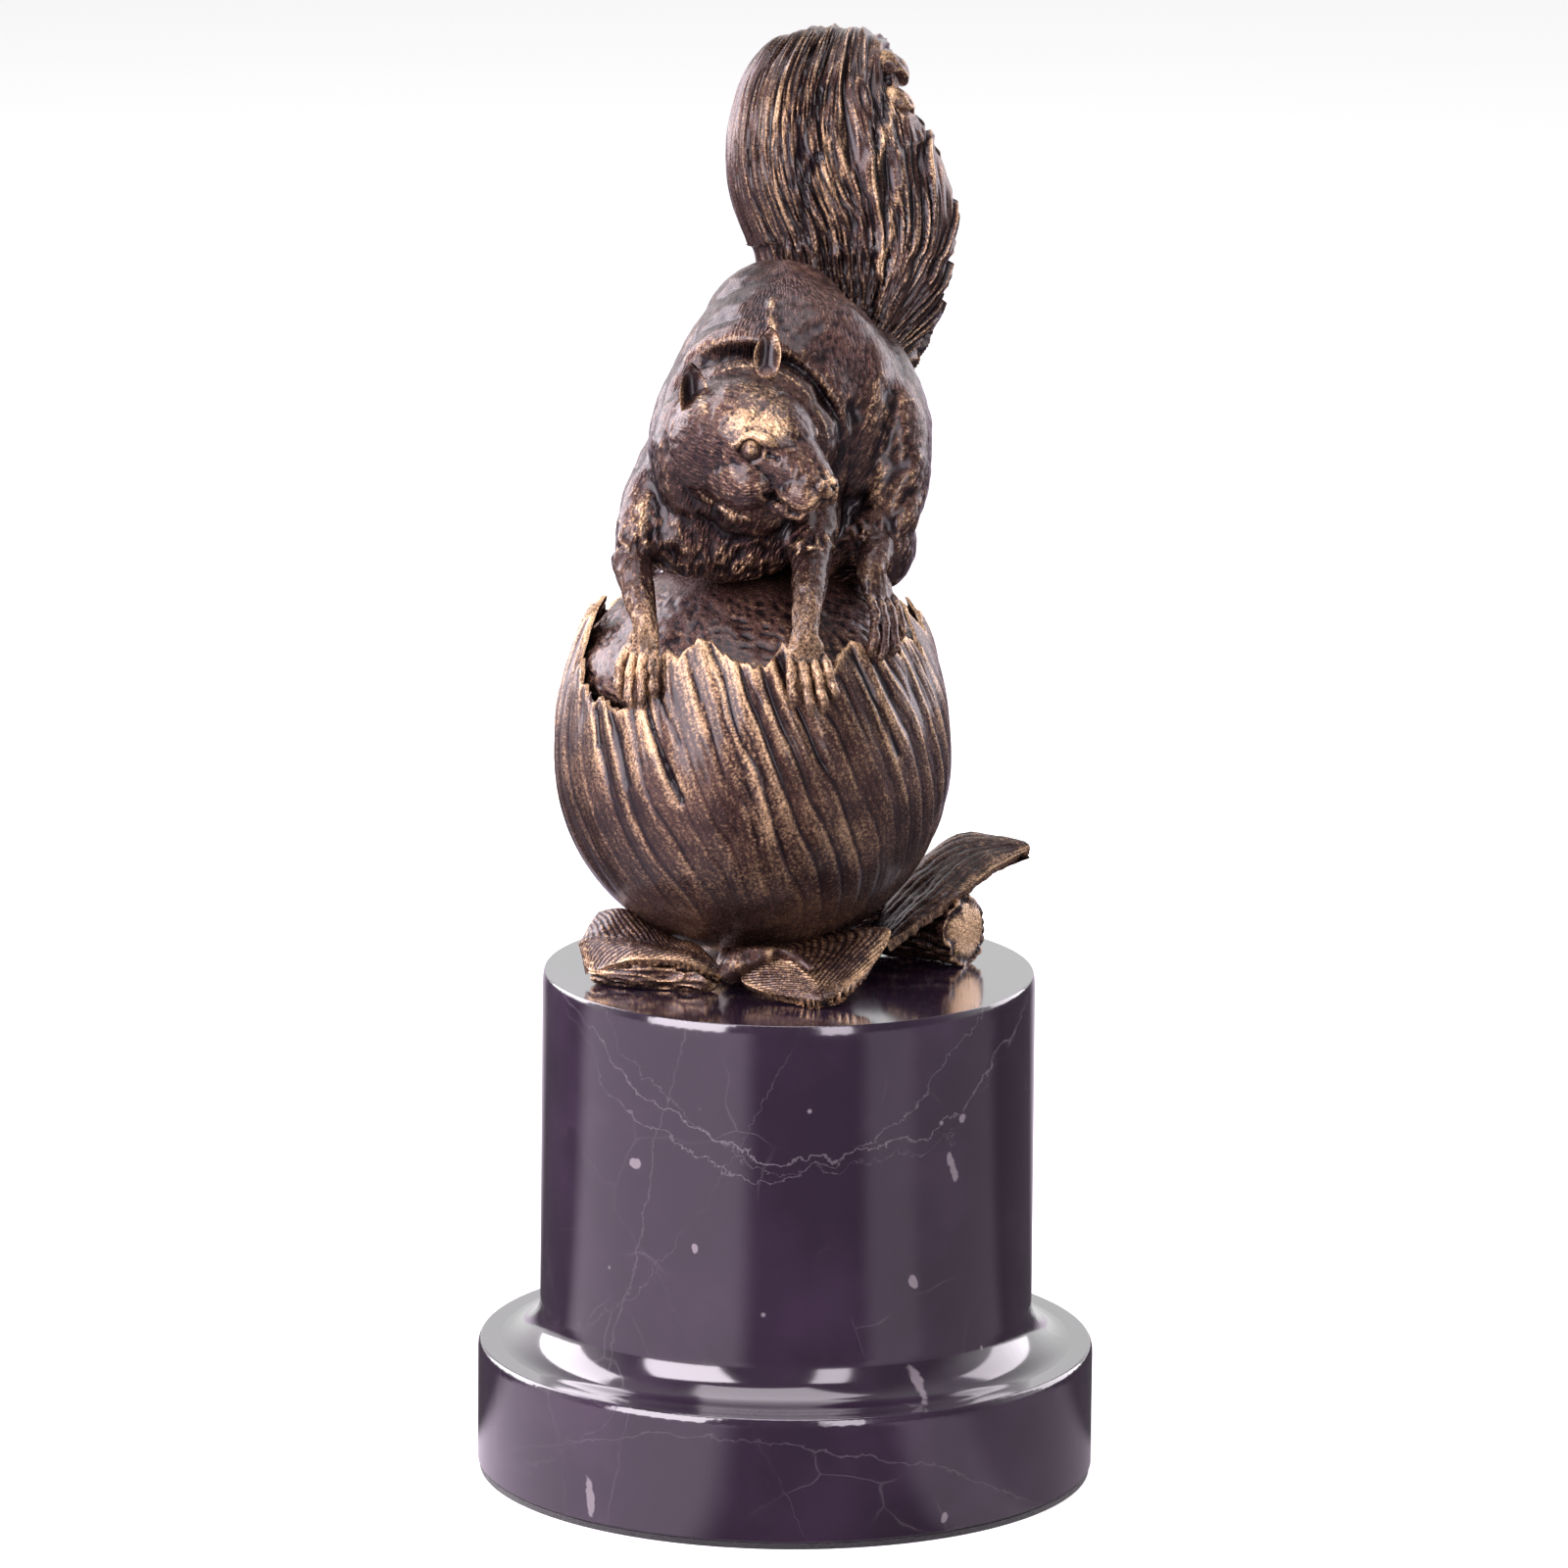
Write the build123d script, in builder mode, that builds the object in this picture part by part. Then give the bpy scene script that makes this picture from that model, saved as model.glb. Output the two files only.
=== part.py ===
from build123d import *
import math
import os

# Squirrel figurine: a cast bronze squirrel on an open hazelnut, on a turned black marble base.
# Millimetres, +Z up, origin at the centre of the underside, -Y is the front.

# Felt and marble base
felt_thickness = 1.0
felt_inset = 0.35
foot_diameter = 110.0
foot_height = 22.5
foot_ease_in = 0.7
foot_ease_high = 1.8
foot_chamfer = 0.5
drum_diameter = 88.0
drum_taper = 0.2
drum_height = 67.5
drum_ease_in = 0.5
drum_ease_high = 3.0
cove_radius = 7.0

# Fastening through the base
stud_diameter = 6.0
stud_hole_gap = 0.5
counterbore_diameter = 24.0
counterbore_depth = 14.0
washer_diameter = 18.0
washer_thickness = 1.6
nut_across_flats = 10.0
nut_height = 5.2
stud_tail = 2.0
stud_grip = 9.0
thread_gap = 0.05

# Hazelnut husk and kernel
nut_off_centre = 6.8
nut_lift = 39.3
husk_radius = 35.5
husk_drop = 36.0
husk_rise = 45.0
husk_wall = 2.2
ledge_reach = 4.0
ledge_height = 3.0
boss_diameter = 15.0
boss_height = 11.0
rim_peak = 4.0
rim_notch = 8.0
rib_count = 16
rib_groove = 0.8
rib_twist = 26.0
kernel_gap = 1.3
kernel_dome = 20.5
kernel_skirt = 3.0
kernel_wall = 3.0

# Twig and leaves under the nut
plate_diameter = 27.0
plate_thickness = 5.0
branch_diameter = 12.0
branch_reach = 33.0
knot_diameter = 7.0
knot_reach = 21.5
leaf_thickness = 1.5
left_leaf_length = 29.0
left_leaf_width = 19.0
left_leaf_crown = 4.5
front_leaf_length = 20.0
front_leaf_width = 27.0
front_leaf_crown = 2.6
rear_leaf_length = 33.0
rear_leaf_width = 18.0
rear_leaf_crown = 3.6
left_leaf_heading = 160.0
front_leaf_heading = -50.0
rear_leaf_heading = 35.0

# Squirrel
torso_width = 49.0
torso_depth = 44.0
torso_height = 51.0
cast_wall = 3.0
head_length = 26.0
head_height = 21.0
nose_diameter = 4.8
ear_height = 10.0
ear_width = 6.2
ear_thickness = 2.4
eye_diameter = 4.0
tail_width = 39.0
tail_depth = 22.0
tail_height = 57.0
lock_groove = 0.9
foreleg_width = 6.4
hind_leg_width = 9.0
paw_width = 8.4
hind_paw_width = 9.6
paw_thickness = 3.6
finger_diameter = 2.2
finger_length = 7.5
left_hand_angle = -128.0
right_hand_angle = -73.0
left_foot_angle = 130.0
right_foot_angle = -38.0

# Fits between the pieces
seam_gap = 0.1
spigot_gap = 0.15
neck_spigot = 9.0
tail_spigot = 9.0
limb_spigot = 2.6
spigot_length = 4.0
overrun = 5.0

# Heights and radii that the pieces share
felt_diameter = foot_diameter - felt_inset * 2
foot_top = felt_thickness + foot_height
plinth_top = foot_top + drum_height
washer_seat = felt_thickness + counterbore_depth
nut_seat = washer_seat - washer_thickness
plate_top = plinth_top + plate_thickness
equator = plinth_top + nut_lift
nut_x = -nut_off_centre
ledge_share = 0.26
rim_share = 0.55
# Share of a radius at which a curve's handle gives a quarter of an oval
oval_share = 0.5523
rim_top = equator + husk_rise * rim_share + rim_peak
ledge_top = equator + husk_rise * ledge_share
kernel_base = ledge_top + kernel_skirt
perch = kernel_base + kernel_dome
stud_top = plate_top + stud_grip
stud_bottom = nut_seat - nut_height - stud_tail


def egg_radius(height, out, rise, drop):
    """Give the egg's radius at a height over its widest line."""
    reach = rise if height > 0 else drop
    return out * math.sqrt(max(0, 1 - (height / reach) ** 2))


bore_radius = egg_radius(kernel_base - equator, husk_radius - husk_wall, husk_rise - husk_wall, husk_drop)
kernel_radius = bore_radius - kernel_gap


def husk_point(angle, height_share, stand_off=0.0):
    """Give a point outside the husk, at an angle round it and a share of its rise."""
    height = husk_rise * height_share
    out = egg_radius(height, husk_radius, husk_rise, husk_drop) + stand_off
    turn = math.radians(angle)
    return (nut_x + out * math.cos(turn), out * math.sin(turn), equator + height)


def between(start, end, share):
    """Give the point that lies a share of the way from one point to another."""
    return tuple(a + (b - a) * share for a, b in zip(start, end))


def on_body(x_share, y_share, z_share):
    """Turn shares of the torso's width, depth and height into a point over the perch."""
    return (nut_x + x_share * torso_width, y_share * torso_depth, perch + z_share * torso_height)


def oval(centre, facing, half_width, half_height, across):
    """Draw one oval ring, square to the way it faces, with its width along one direction."""
    ahead = Vector(*facing).normalized()
    side = Vector(*across) - ahead * ahead.dot(Vector(*across))
    with BuildSketch(Plane(origin=centre, x_dir=side, z_dir=ahead)) as ring:
        Ellipse(half_width, half_height)
    return ring.sketch.face()


def swell(rows, first=None, last=None, across=(1, 0, 0), mode=Mode.ADD):
    """Loft a rounded form through oval rings along a path of (centre, half width, half height)."""
    centres = [row[0] for row in rows]
    rings = []
    for index, (centre, half_width, half_height) in enumerate(rows):
        before = Vector(*centres[max(index - 1, 0)])
        after = Vector(*centres[min(index + 1, len(rows) - 1)])
        facing = tuple(after - before)
        if index == 0 and first:
            facing = first
        if index == len(rows) - 1 and last:
            facing = last
        rings.append(oval(centre, facing, half_width, half_height, across))
    return loft(rings, mode=mode)


def ribbed(centre, facing, half_width, half_height, across, turns, inset, crest=0.0):
    """Draw a ring that swells between grooves, which stand at turns in degrees round it."""
    ahead = Vector(*facing).normalized()
    side = Vector(*across) - ahead * ahead.dot(Vector(*across))
    with BuildSketch(Plane(origin=centre, x_dir=side, z_dir=ahead)) as ring:
        with BuildLine():
            for start, end in zip(turns, turns[1:] + [turns[0] + 360]):
                bow = []
                for turn, lift in ((start, -inset), ((start + end) / 2, crest), (end, -inset)):
                    across_part, up_part = math.cos(math.radians(turn)), math.sin(math.radians(turn))
                    bow.append(((half_width + lift) * across_part, (half_height + lift) * up_part))
                ThreePointArc(*bow)
        make_face()
    return ring.sketch.face()


def peg(centre, facing, diameter, length, mode=Mode.ADD):
    """Add or cut a round peg that starts at a seam and runs the way it faces."""
    ahead = Vector(*facing).normalized()
    with BuildSketch(Plane(origin=centre, z_dir=ahead)) as end:
        Circle(diameter / 2)
    return extrude(end.sketch, amount=length, mode=mode)


def opposite(facing):
    """Turn a direction round."""
    return tuple(-value for value in facing)


def egg_section(out, rise, drop):
    """Draw half of an egg's upright section, cut at the nut's axis, ready to turn."""
    with BuildSketch(nut_plane) as half:
        with BuildLine():
            Bezier((0, -drop), (out * oval_share, -drop), (out, -drop * oval_share), (out, 0))
            Bezier((out, 0), (out, rise * oval_share), (out * oval_share, rise), (0, rise))
            Line((0, rise), (0, -drop))
        make_face()
    return half.sketch


def dome_section(out, rise):
    """Draw half of the kernel's domed section, flat below, ready to turn."""
    with BuildSketch(kernel_plane) as half:
        with BuildLine():
            Bezier((out, 0), (out, rise * oval_share), (out * oval_share, rise), (0, rise))
            Polyline((0, rise), (0, 0), (out, 0))
        make_face()
    return half.sketch


nut_axis = Axis((nut_x, 0, 0), (0, 0, 1))
nut_plane = Plane(origin=(nut_x, 0, equator), x_dir=(1, 0, 0), z_dir=(0, -1, 0))
kernel_plane = Plane(origin=(nut_x, 0, kernel_base), x_dir=(1, 0, 0), z_dir=(0, -1, 0))

# Plain rooms that the neighbours of the husk and the kernel are cut with
with BuildPart() as husk_room:
    revolve(egg_section(husk_radius + seam_gap, husk_rise + seam_gap, husk_drop + seam_gap), nut_axis)
    split(bisect_by=Plane.XY.offset(rim_top), keep=Keep.BOTTOM)

with BuildPart() as kernel_room:
    revolve(dome_section(kernel_radius + seam_gap, kernel_dome + seam_gap), nut_axis)

os.makedirs("parts", exist_ok=True)

# Felt pad, glued over the underside
with BuildPart() as felt_pad:
    with BuildSketch():
        Circle(felt_diameter / 2)
    extrude(amount=felt_thickness)
felt_pad.part.label = "felt_pad"
export_step(felt_pad.part, "parts/felt_pad.step")

# Marble base, turned from one stone: a foot, a cove and a drum with eased rims
foot_radius = foot_diameter / 2
drum_foot_radius = drum_diameter / 2
drum_top_radius = drum_foot_radius - drum_taper
with BuildPart() as marble_plinth:
    with BuildSketch(Plane.XZ):
        with BuildLine():
            start = (0, felt_thickness)
            Polyline(
                start,
                (foot_radius - foot_chamfer, felt_thickness),
                (foot_radius, felt_thickness + foot_chamfer),
                (foot_radius, foot_top - foot_ease_high),
            )
            EllipticalCenterArc(
                (foot_radius - foot_ease_in, foot_top - foot_ease_high), foot_ease_in, foot_ease_high
            )
            Line((foot_radius - foot_ease_in, foot_top), (drum_foot_radius + cove_radius, foot_top))
            RadiusArc(
                (drum_foot_radius + cove_radius, foot_top),
                (drum_foot_radius, foot_top + cove_radius),
                cove_radius,
            )
            Line((drum_foot_radius, foot_top + cove_radius), (drum_top_radius, plinth_top - drum_ease_high))
            EllipticalCenterArc(
                (drum_top_radius - drum_ease_in, plinth_top - drum_ease_high), drum_ease_in, drum_ease_high
            )
            Polyline((drum_top_radius - drum_ease_in, plinth_top), (0, plinth_top), start)
        make_face()
    revolve(axis=Axis.Z)
    with Locations((0, 0, felt_thickness)):
        Cylinder(
            counterbore_diameter / 2,
            counterbore_depth,
            align=(Align.CENTER, Align.CENTER, Align.MIN),
            mode=Mode.SUBTRACT,
        )
        Cylinder(
            stud_diameter / 2 + stud_hole_gap,
            plinth_top,
            align=(Align.CENTER, Align.CENTER, Align.MIN),
            mode=Mode.SUBTRACT,
        )
marble_plinth.part.label = "marble_plinth"
export_step(marble_plinth.part, "parts/marble_plinth.step")

# Threaded stud that ties the bronze to the stone
with BuildPart() as mounting_stud:
    with BuildSketch(Plane.XY.offset(stud_bottom)):
        Circle(stud_diameter / 2)
    extrude(amount=stud_top - stud_bottom)
    chamfer(mounting_stud.edges().filter_by(GeomType.CIRCLE), length=stud_diameter / 12)
mounting_stud.part.label = "mounting_stud"
export_step(mounting_stud.part, "parts/mounting_stud.step")

with BuildPart() as plain_washer:
    with BuildSketch(Plane.XY.offset(nut_seat)):
        Circle(washer_diameter / 2)
        Circle(stud_diameter / 2 + stud_hole_gap, mode=Mode.SUBTRACT)
    extrude(amount=washer_thickness)
plain_washer.part.label = "plain_washer"
export_step(plain_washer.part, "parts/plain_washer.step")

with BuildPart() as hex_nut:
    with BuildSketch(Plane.XY.offset(nut_seat - nut_height)):
        RegularPolygon(nut_across_flats / 2, 6, major_radius=False)
        Circle(stud_diameter / 2 + thread_gap, mode=Mode.SUBTRACT)
    extrude(amount=nut_height)
hex_nut.part.label = "hex_nut"
export_step(hex_nut.part, "parts/hex_nut.step")

# Open husk: an egg-shaped bowl with a torn rim, a ledge for the kernel and a boss for the stud
rim_depth_shares = [0.7, 1.0, 0.5, 0.85, 0.6, 1.0, 0.55, 0.9, 0.6, 0.75, 1.0, 0.5, 0.8, 0.65, 0.95]
tooth_angle = 360 / len(rim_depth_shares)
tooth_width = math.radians(tooth_angle) * egg_radius(rim_top - equator, husk_radius, husk_rise, husk_drop)
half_wall = husk_wall / 2
with BuildPart() as stud_boss:
    with BuildSketch(Plane.XY.offset(plate_top)):
        Circle(boss_diameter / 2)
    extrude(amount=boss_height)
    revolve(
        egg_section(husk_radius - half_wall, husk_rise - half_wall, husk_drop - half_wall),
        nut_axis,
        mode=Mode.INTERSECT,
    )

# Room outside the husk's main ribs: its grooves slant round the nut and run out below
rib_height_shares = [-0.36, -0.14, 0.08, 0.3, 0.5, 0.68]
rib_depth_shares = [-0.5, 0.3, 1.0, 1.0, 1.0, 1.0]
rib_rings = []
for height_share, depth_share in zip(rib_height_shares, rib_depth_shares):
    height = husk_rise * height_share
    radius = egg_radius(height, husk_radius, husk_rise, husk_drop)
    turns = [360 / rib_count * index - rib_twist * height_share for index in range(rib_count)]
    centre = (nut_x, 0, equator + height)
    inset = rib_groove * depth_share
    rib_rings.append(ribbed(centre, (0, 0, 1), radius, radius, (1, 0, 0), turns, inset, rib_groove))
rib_low = equator + husk_rise * rib_height_shares[0]
with BuildPart() as rib_grooves:
    with BuildSketch(Plane.XY.offset(rib_low)):
        with Locations((nut_x, 0)):
            Circle(husk_radius + overrun)
    extrude(amount=husk_rise * (rib_height_shares[-1] - rib_height_shares[0]))
    loft(rib_rings, mode=Mode.SUBTRACT)

with BuildPart() as nut_husk:
    revolve(egg_section(husk_radius, husk_rise, husk_drop), nut_axis)
    add(rib_grooves.part, mode=Mode.SUBTRACT)
    revolve(
        egg_section(husk_radius - husk_wall, husk_rise - husk_wall, husk_drop - husk_wall),
        nut_axis,
        mode=Mode.SUBTRACT,
    )
    split(bisect_by=Plane.XY.offset(rim_top), keep=Keep.BOTTOM)
    add(stud_boss.part)
    split(bisect_by=Plane.XY.offset(plate_top), keep=Keep.TOP)
    with BuildSketch(Plane.XY.offset(ledge_top - ledge_height)):
        with Locations((nut_x, 0)):
            Circle(bore_radius + husk_wall)
            Circle(bore_radius - ledge_reach, mode=Mode.SUBTRACT)
    extrude(amount=ledge_height)
    with BuildSketch(Plane.XY.offset(plate_top)):
        Circle(stud_diameter / 2 + thread_gap)
    extrude(amount=stud_grip + thread_gap, mode=Mode.SUBTRACT)
    for index, depth_share in enumerate(rim_depth_shares):
        turn = math.radians(tooth_angle * (index + depth_share / 4))
        outward = (math.cos(turn), math.sin(turn), 0)
        across = (-math.sin(turn), math.cos(turn), 0)
        notch_depth = rim_notch * depth_share
        flare = (notch_depth + overrun) / notch_depth
        half_mouth = tooth_width * 0.36 * depth_share
        with BuildSketch(Plane(origin=(nut_x, 0, rim_top - notch_depth), x_dir=across, z_dir=outward)):
            with BuildLine():
                Polyline(
                    (0, 0),
                    (half_mouth * flare, notch_depth * flare),
                    (-half_mouth * flare, notch_depth * flare),
                    close=True,
                )
            make_face()
        extrude(amount=husk_radius, mode=Mode.SUBTRACT)
nut_husk.part.label = "nut_husk"
export_step(nut_husk.part, "parts/nut_husk.step")

# Domed kernel, a cast cap that sits on the husk's ledge
with BuildPart() as nut_kernel:
    revolve(dome_section(kernel_radius, kernel_dome), nut_axis)
    with BuildSketch(Plane.XY.offset(ledge_top)):
        with Locations((nut_x, 0)):
            Circle(kernel_radius)
    extrude(amount=kernel_skirt)
    revolve(
        dome_section(kernel_radius - kernel_wall, kernel_dome - kernel_wall),
        nut_axis,
        mode=Mode.SUBTRACT,
    )
    with BuildSketch(Plane.XY.offset(ledge_top)):
        with Locations((nut_x, 0)):
            Circle(kernel_radius - kernel_wall)
    extrude(amount=kernel_skirt, mode=Mode.SUBTRACT)
nut_kernel.part.label = "nut_kernel"
export_step(nut_kernel.part, "parts/nut_kernel.step")

# Twig: a plate under the nut, a cut branch at the right and a knot at the front
branch_radius = branch_diameter / 2
branch_facing = (0.82, -0.57, 0)
branch_height = plinth_top + branch_radius
branch_rows = [
    ((branch_reach * 0.1, branch_reach * 0.25, branch_height), branch_radius * 0.8, branch_radius * 0.8),
    ((branch_reach * 0.5, branch_reach * 0.34, branch_height), branch_radius * 0.84, branch_radius * 0.88),
    ((branch_reach * 0.78, branch_reach * 0.25, branch_height), branch_radius * 0.92, branch_radius * 0.95),
    ((branch_reach, branch_reach * 0.12, branch_height), branch_radius, branch_radius),
]
knot_radius = knot_diameter / 2
knot_place = (nut_x, -knot_reach, plinth_top + knot_radius)
with BuildPart() as twig:
    with BuildSketch(Plane.XY.offset(plinth_top)):
        with Locations((nut_x / 2, 0)):
            Circle(plate_diameter / 2)
    extrude(amount=plate_thickness)
    swell(branch_rows, last=branch_facing, across=(0, 1, 0))
    with BuildSketch(Plane(origin=(nut_x, 0, plinth_top + knot_radius), z_dir=(0, -1, 0))):
        Circle(knot_radius)
    extrude(amount=knot_reach)
    with Locations(knot_place):
        Sphere(knot_radius)
    split(bisect_by=Plane.XY.offset(plinth_top), keep=Keep.TOP)
    add(husk_room.part, mode=Mode.SUBTRACT)
    with BuildSketch(Plane.XY.offset(plinth_top)):
        Circle(stud_diameter / 2 + stud_hole_gap)
    extrude(amount=plate_thickness + boss_height, mode=Mode.SUBTRACT)
twig.part.label = "twig"
export_step(twig.part, "parts/twig.step")


def blade(base, heading, length, width, crown, leaf_shares):
    """Loft an arched leaf through rings, each with its share of the length, width, rise and lean."""
    turn = math.radians(heading)
    ahead = (math.cos(turn), math.sin(turn), 0)
    sections = []
    for out_share, width_share, rise_share, lean_share in leaf_shares:
        reach = length * out_share
        rise = length * rise_share
        centre = (base[0] + ahead[0] * reach, base[1] + ahead[1] * reach, base[2] + rise)
        half = width / 2 * width_share
        arch = crown * width_share
        with BuildSketch(Plane(origin=centre, x_dir=(-ahead[1], ahead[0], lean_share), z_dir=ahead)) as lens:
            with BuildLine():
                ThreePointArc((-half, 0), (0, arch), (half, 0))
                Line((half, 0), (half, leaf_thickness))
                ThreePointArc((half, leaf_thickness), (0, arch + leaf_thickness), (-half, leaf_thickness))
                Line((-half, leaf_thickness), (-half, 0))
            make_face()
        sections.append(lens.sketch.face())
    return loft(sections)


# Room of the twig, grown by the seam gap, that the leaves are cut with
with BuildPart() as twig_room:
    with BuildSketch(Plane.XY.offset(plinth_top)):
        with Locations((nut_x / 2, 0)):
            Circle(plate_diameter / 2 + seam_gap)
    extrude(amount=plate_thickness + seam_gap)
    swell(
        [(centre, wide + seam_gap, high + seam_gap) for centre, wide, high in branch_rows],
        last=branch_facing,
        across=(0, 1, 0),
    )
    with BuildSketch(Plane(origin=(nut_x, 0, plinth_top + knot_radius), z_dir=(0, -1, 0))):
        Circle(knot_radius + seam_gap)
    extrude(amount=knot_reach)
    with Locations(knot_place):
        Sphere(knot_radius + seam_gap)

# Left leaf, arched clear of the stone at its middle
left_leaf_shares = [
    (0.0, 0.35, 0.02, 0.0),
    (0.3, 0.85, 0.05, -0.05),
    (0.65, 1.0, 0.12, -0.15),
    (0.9, 0.8, 0.2, -0.2),
    (1.0, 0.5, 0.26, -0.2),
]
leaf_start = -knot_reach + knot_radius
with BuildPart() as leaf_left:
    blade(
        (nut_x - knot_radius, leaf_start, plinth_top),
        left_leaf_heading,
        left_leaf_length,
        left_leaf_width,
        left_leaf_crown,
        left_leaf_shares,
    )
    split(bisect_by=Plane.XY.offset(plinth_top), keep=Keep.TOP)
    add(husk_room.part, mode=Mode.SUBTRACT)
    add(twig_room.part, mode=Mode.SUBTRACT)
leaf_left.part.label = "leaf_left"
export_step(leaf_left.part, "parts/leaf_left.step")

# Front leaf, with its point on the stone and its right half lifted
front_leaf_shares = [
    (0.0, 0.5, 0.2, 0.1),
    (0.3, 0.9, 0.16, 0.4),
    (0.55, 1.0, 0.15, 0.5),
    (0.85, 0.45, 0.04, 0.2),
    (1.0, 0.08, 0.0, 0.0),
]
with BuildPart() as leaf_front:
    blade(
        (nut_x + knot_radius, leaf_start, plinth_top),
        front_leaf_heading,
        front_leaf_length,
        front_leaf_width,
        front_leaf_crown,
        front_leaf_shares,
    )
    split(bisect_by=Plane.XY.offset(plinth_top), keep=Keep.TOP)
    add(husk_room.part, mode=Mode.SUBTRACT)
    add(twig_room.part, mode=Mode.SUBTRACT)
leaf_front.part.label = "leaf_front"
export_step(leaf_front.part, "parts/leaf_front.step")

# Rear leaf, rising past the branch to a point
rear_leaf_shares = [
    (0.0, 0.5, 0.08, 0.0),
    (0.35, 0.9, 0.28, 0.2),
    (0.65, 1.0, 0.45, 0.2),
    (0.88, 0.6, 0.54, 0.1),
    (1.0, 0.1, 0.55, 0.0),
]
with BuildPart() as leaf_rear:
    blade(
        (branch_reach * 0.45, 0, plinth_top),
        rear_leaf_heading,
        rear_leaf_length,
        rear_leaf_width,
        rear_leaf_crown,
        rear_leaf_shares,
    )
    split(bisect_by=Plane.XY.offset(plinth_top), keep=Keep.TOP)
    add(husk_room.part, mode=Mode.SUBTRACT)
    add(twig_room.part, mode=Mode.SUBTRACT)
leaf_rear.part.label = "leaf_rear"
export_step(leaf_rear.part, "parts/leaf_rear.step")

# Seams of the squirrel's castings, each a point and the way that its joint faces
neck = on_body(-0.055, -0.295, 0.42)
neck_facing = (0.05, -0.96, 0.15)
neck_half_width = torso_width * 0.224
neck_half_height = torso_height * 0.225
tail_root = on_body(0.33, 0.57, 0.61)
tail_facing = (0.3, 0.75, 0.6)
root_half_width = torso_width * 0.24
root_half_height = torso_height * 0.175
elbow_facing = (0, -0.25, -0.97)
left_elbow = on_body(-0.43, -0.386, 0.03)
right_elbow = on_body(0.2, -0.432, 0.05)
elbow_half = foreleg_width * 0.55
right_knee_facing = (0, -0.3, -0.95)
left_knee_facing = (-0.1, 0.25, -0.96)
left_knee = on_body(-0.31, 0.3, 0.2)
right_knee = on_body(0.49, -0.12, 0.17)
knee_half = hind_leg_width * 0.5


def on_head(x_share, y_share, z_share):
    """Turn shares of the head's length and height into a point before the neck."""
    return (
        neck[0] + x_share * head_length,
        neck[1] + y_share * head_length,
        neck[2] + z_share * head_height,
    )


def on_tail(x_share, y_share, z_share):
    """Turn shares of the tail's width, depth and height into a point over its root."""
    return (
        tail_root[0] + x_share * tail_width,
        tail_root[1] + y_share * tail_depth,
        tail_root[2] + z_share * tail_height,
    )


neck_plane = Plane(origin=neck, z_dir=neck_facing)
tail_plane = Plane(origin=tail_root, z_dir=tail_facing)

# Head, turned to the right, with ears, eyes and a spigot that plugs into the neck
muzzle = on_head(0.58, -0.77, -0.07)
head_rows = [
    (neck, neck_half_width, neck_half_height),
    (on_head(0.02, -0.17, 0.09), head_height * 0.51, head_height * 0.53),
    (on_head(0.09, -0.34, 0.17), head_height * 0.485, head_height * 0.5),
    (on_head(0.24, -0.52, 0.13), head_height * 0.395, head_height * 0.41),
    (on_head(0.43, -0.67, 0.01), head_height * 0.26, head_height * 0.27),
    (muzzle, nose_diameter * 0.5, nose_diameter * 0.5),
]
with BuildPart() as head:
    swell(head_rows, first=neck_facing)
    split(bisect_by=neck_plane, keep=Keep.TOP)
    with Locations(muzzle):
        Sphere(nose_diameter / 2)
    with Locations(on_head(0.07, -0.66, 0.1), on_head(0.49, -0.27, 0.13)):
        Sphere(eye_diameter / 2)
    for ear_base, lean_share in ((on_head(-0.2, -0.17, 0.3), -0.25), (on_head(0.2, -0.05, 0.5), 0)):
        ear_tip = (
            ear_base[0] + ear_height * lean_share,
            ear_base[1] + ear_height * 0.3,
            ear_base[2] + ear_height,
        )
        swell(
            [
                (ear_base, ear_width * 0.5, ear_thickness * 0.6),
                (between(ear_base, ear_tip, 0.5), ear_width * 0.46, ear_thickness * 0.5),
                (ear_tip, ear_width * 0.12, ear_thickness * 0.25),
            ]
        )
    peg(neck, opposite(neck_facing), neck_spigot - spigot_gap * 2, spigot_length)
head.part.label = "head"
export_step(head.part, "parts/head.step")

# Tail, a plume that rises behind the rump and curls back at its top
tail_rows = [
    (tail_root, root_half_width, root_half_height),
    (on_tail(0.03, 0.16, 0.15), tail_width * 0.4, tail_depth * 0.43),
    (on_tail(0.03, 0.23, 0.29), tail_width * 0.456, tail_depth * 0.455),
    (on_tail(0.01, 0.27, 0.42), tail_width * 0.49, tail_depth * 0.48),
    (on_tail(-0.09, 0.32, 0.61), tail_width * 0.49, tail_depth * 0.5),
    (on_tail(-0.12, 0.41, 0.78), tail_width * 0.41, tail_depth * 0.43),
    (on_tail(-0.06, 0.6, 0.89), tail_width * 0.3, tail_depth * 0.32),
    (on_tail(0.04, 0.92, 0.865), tail_width * 0.2, tail_depth * 0.27),
    (on_tail(0.09, 1.08, 0.76), tail_width * 0.07, tail_depth * 0.11),
]
# Grooves between the locks of hair, as shares of half the width, which fan out to the right
lock_shares = [0.42, 0.12, -0.28, -0.75]
lock_fan = 1.1
under_root = tuple(Vector(*tail_root) - Vector(*tail_facing).normalized() * overrun)
lock_rows = [(under_root, root_half_width, root_half_height)] + tail_rows
tail_rings = []
for index, (centre, half_width, half_height) in enumerate(lock_rows):
    climb = index / (len(lock_rows) - 1)
    fanned = [share * (1 + lock_fan * climb) if share > 0 else share for share in lock_shares]
    turns = [math.degrees(math.acos(share)) for share in fanned]
    turns += [360 - turn for turn in reversed(turns)]
    before = Vector(*lock_rows[max(index - 1, 0)][0])
    after = Vector(*lock_rows[min(index + 1, len(lock_rows) - 1)][0])
    facing = tail_facing if index < 2 else tuple(after - before)
    inset = lock_groove * half_height / (tail_depth / 2)
    tail_rings.append(ribbed(centre, facing, half_width, half_height, (1, 0, 0), turns, inset))
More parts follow.
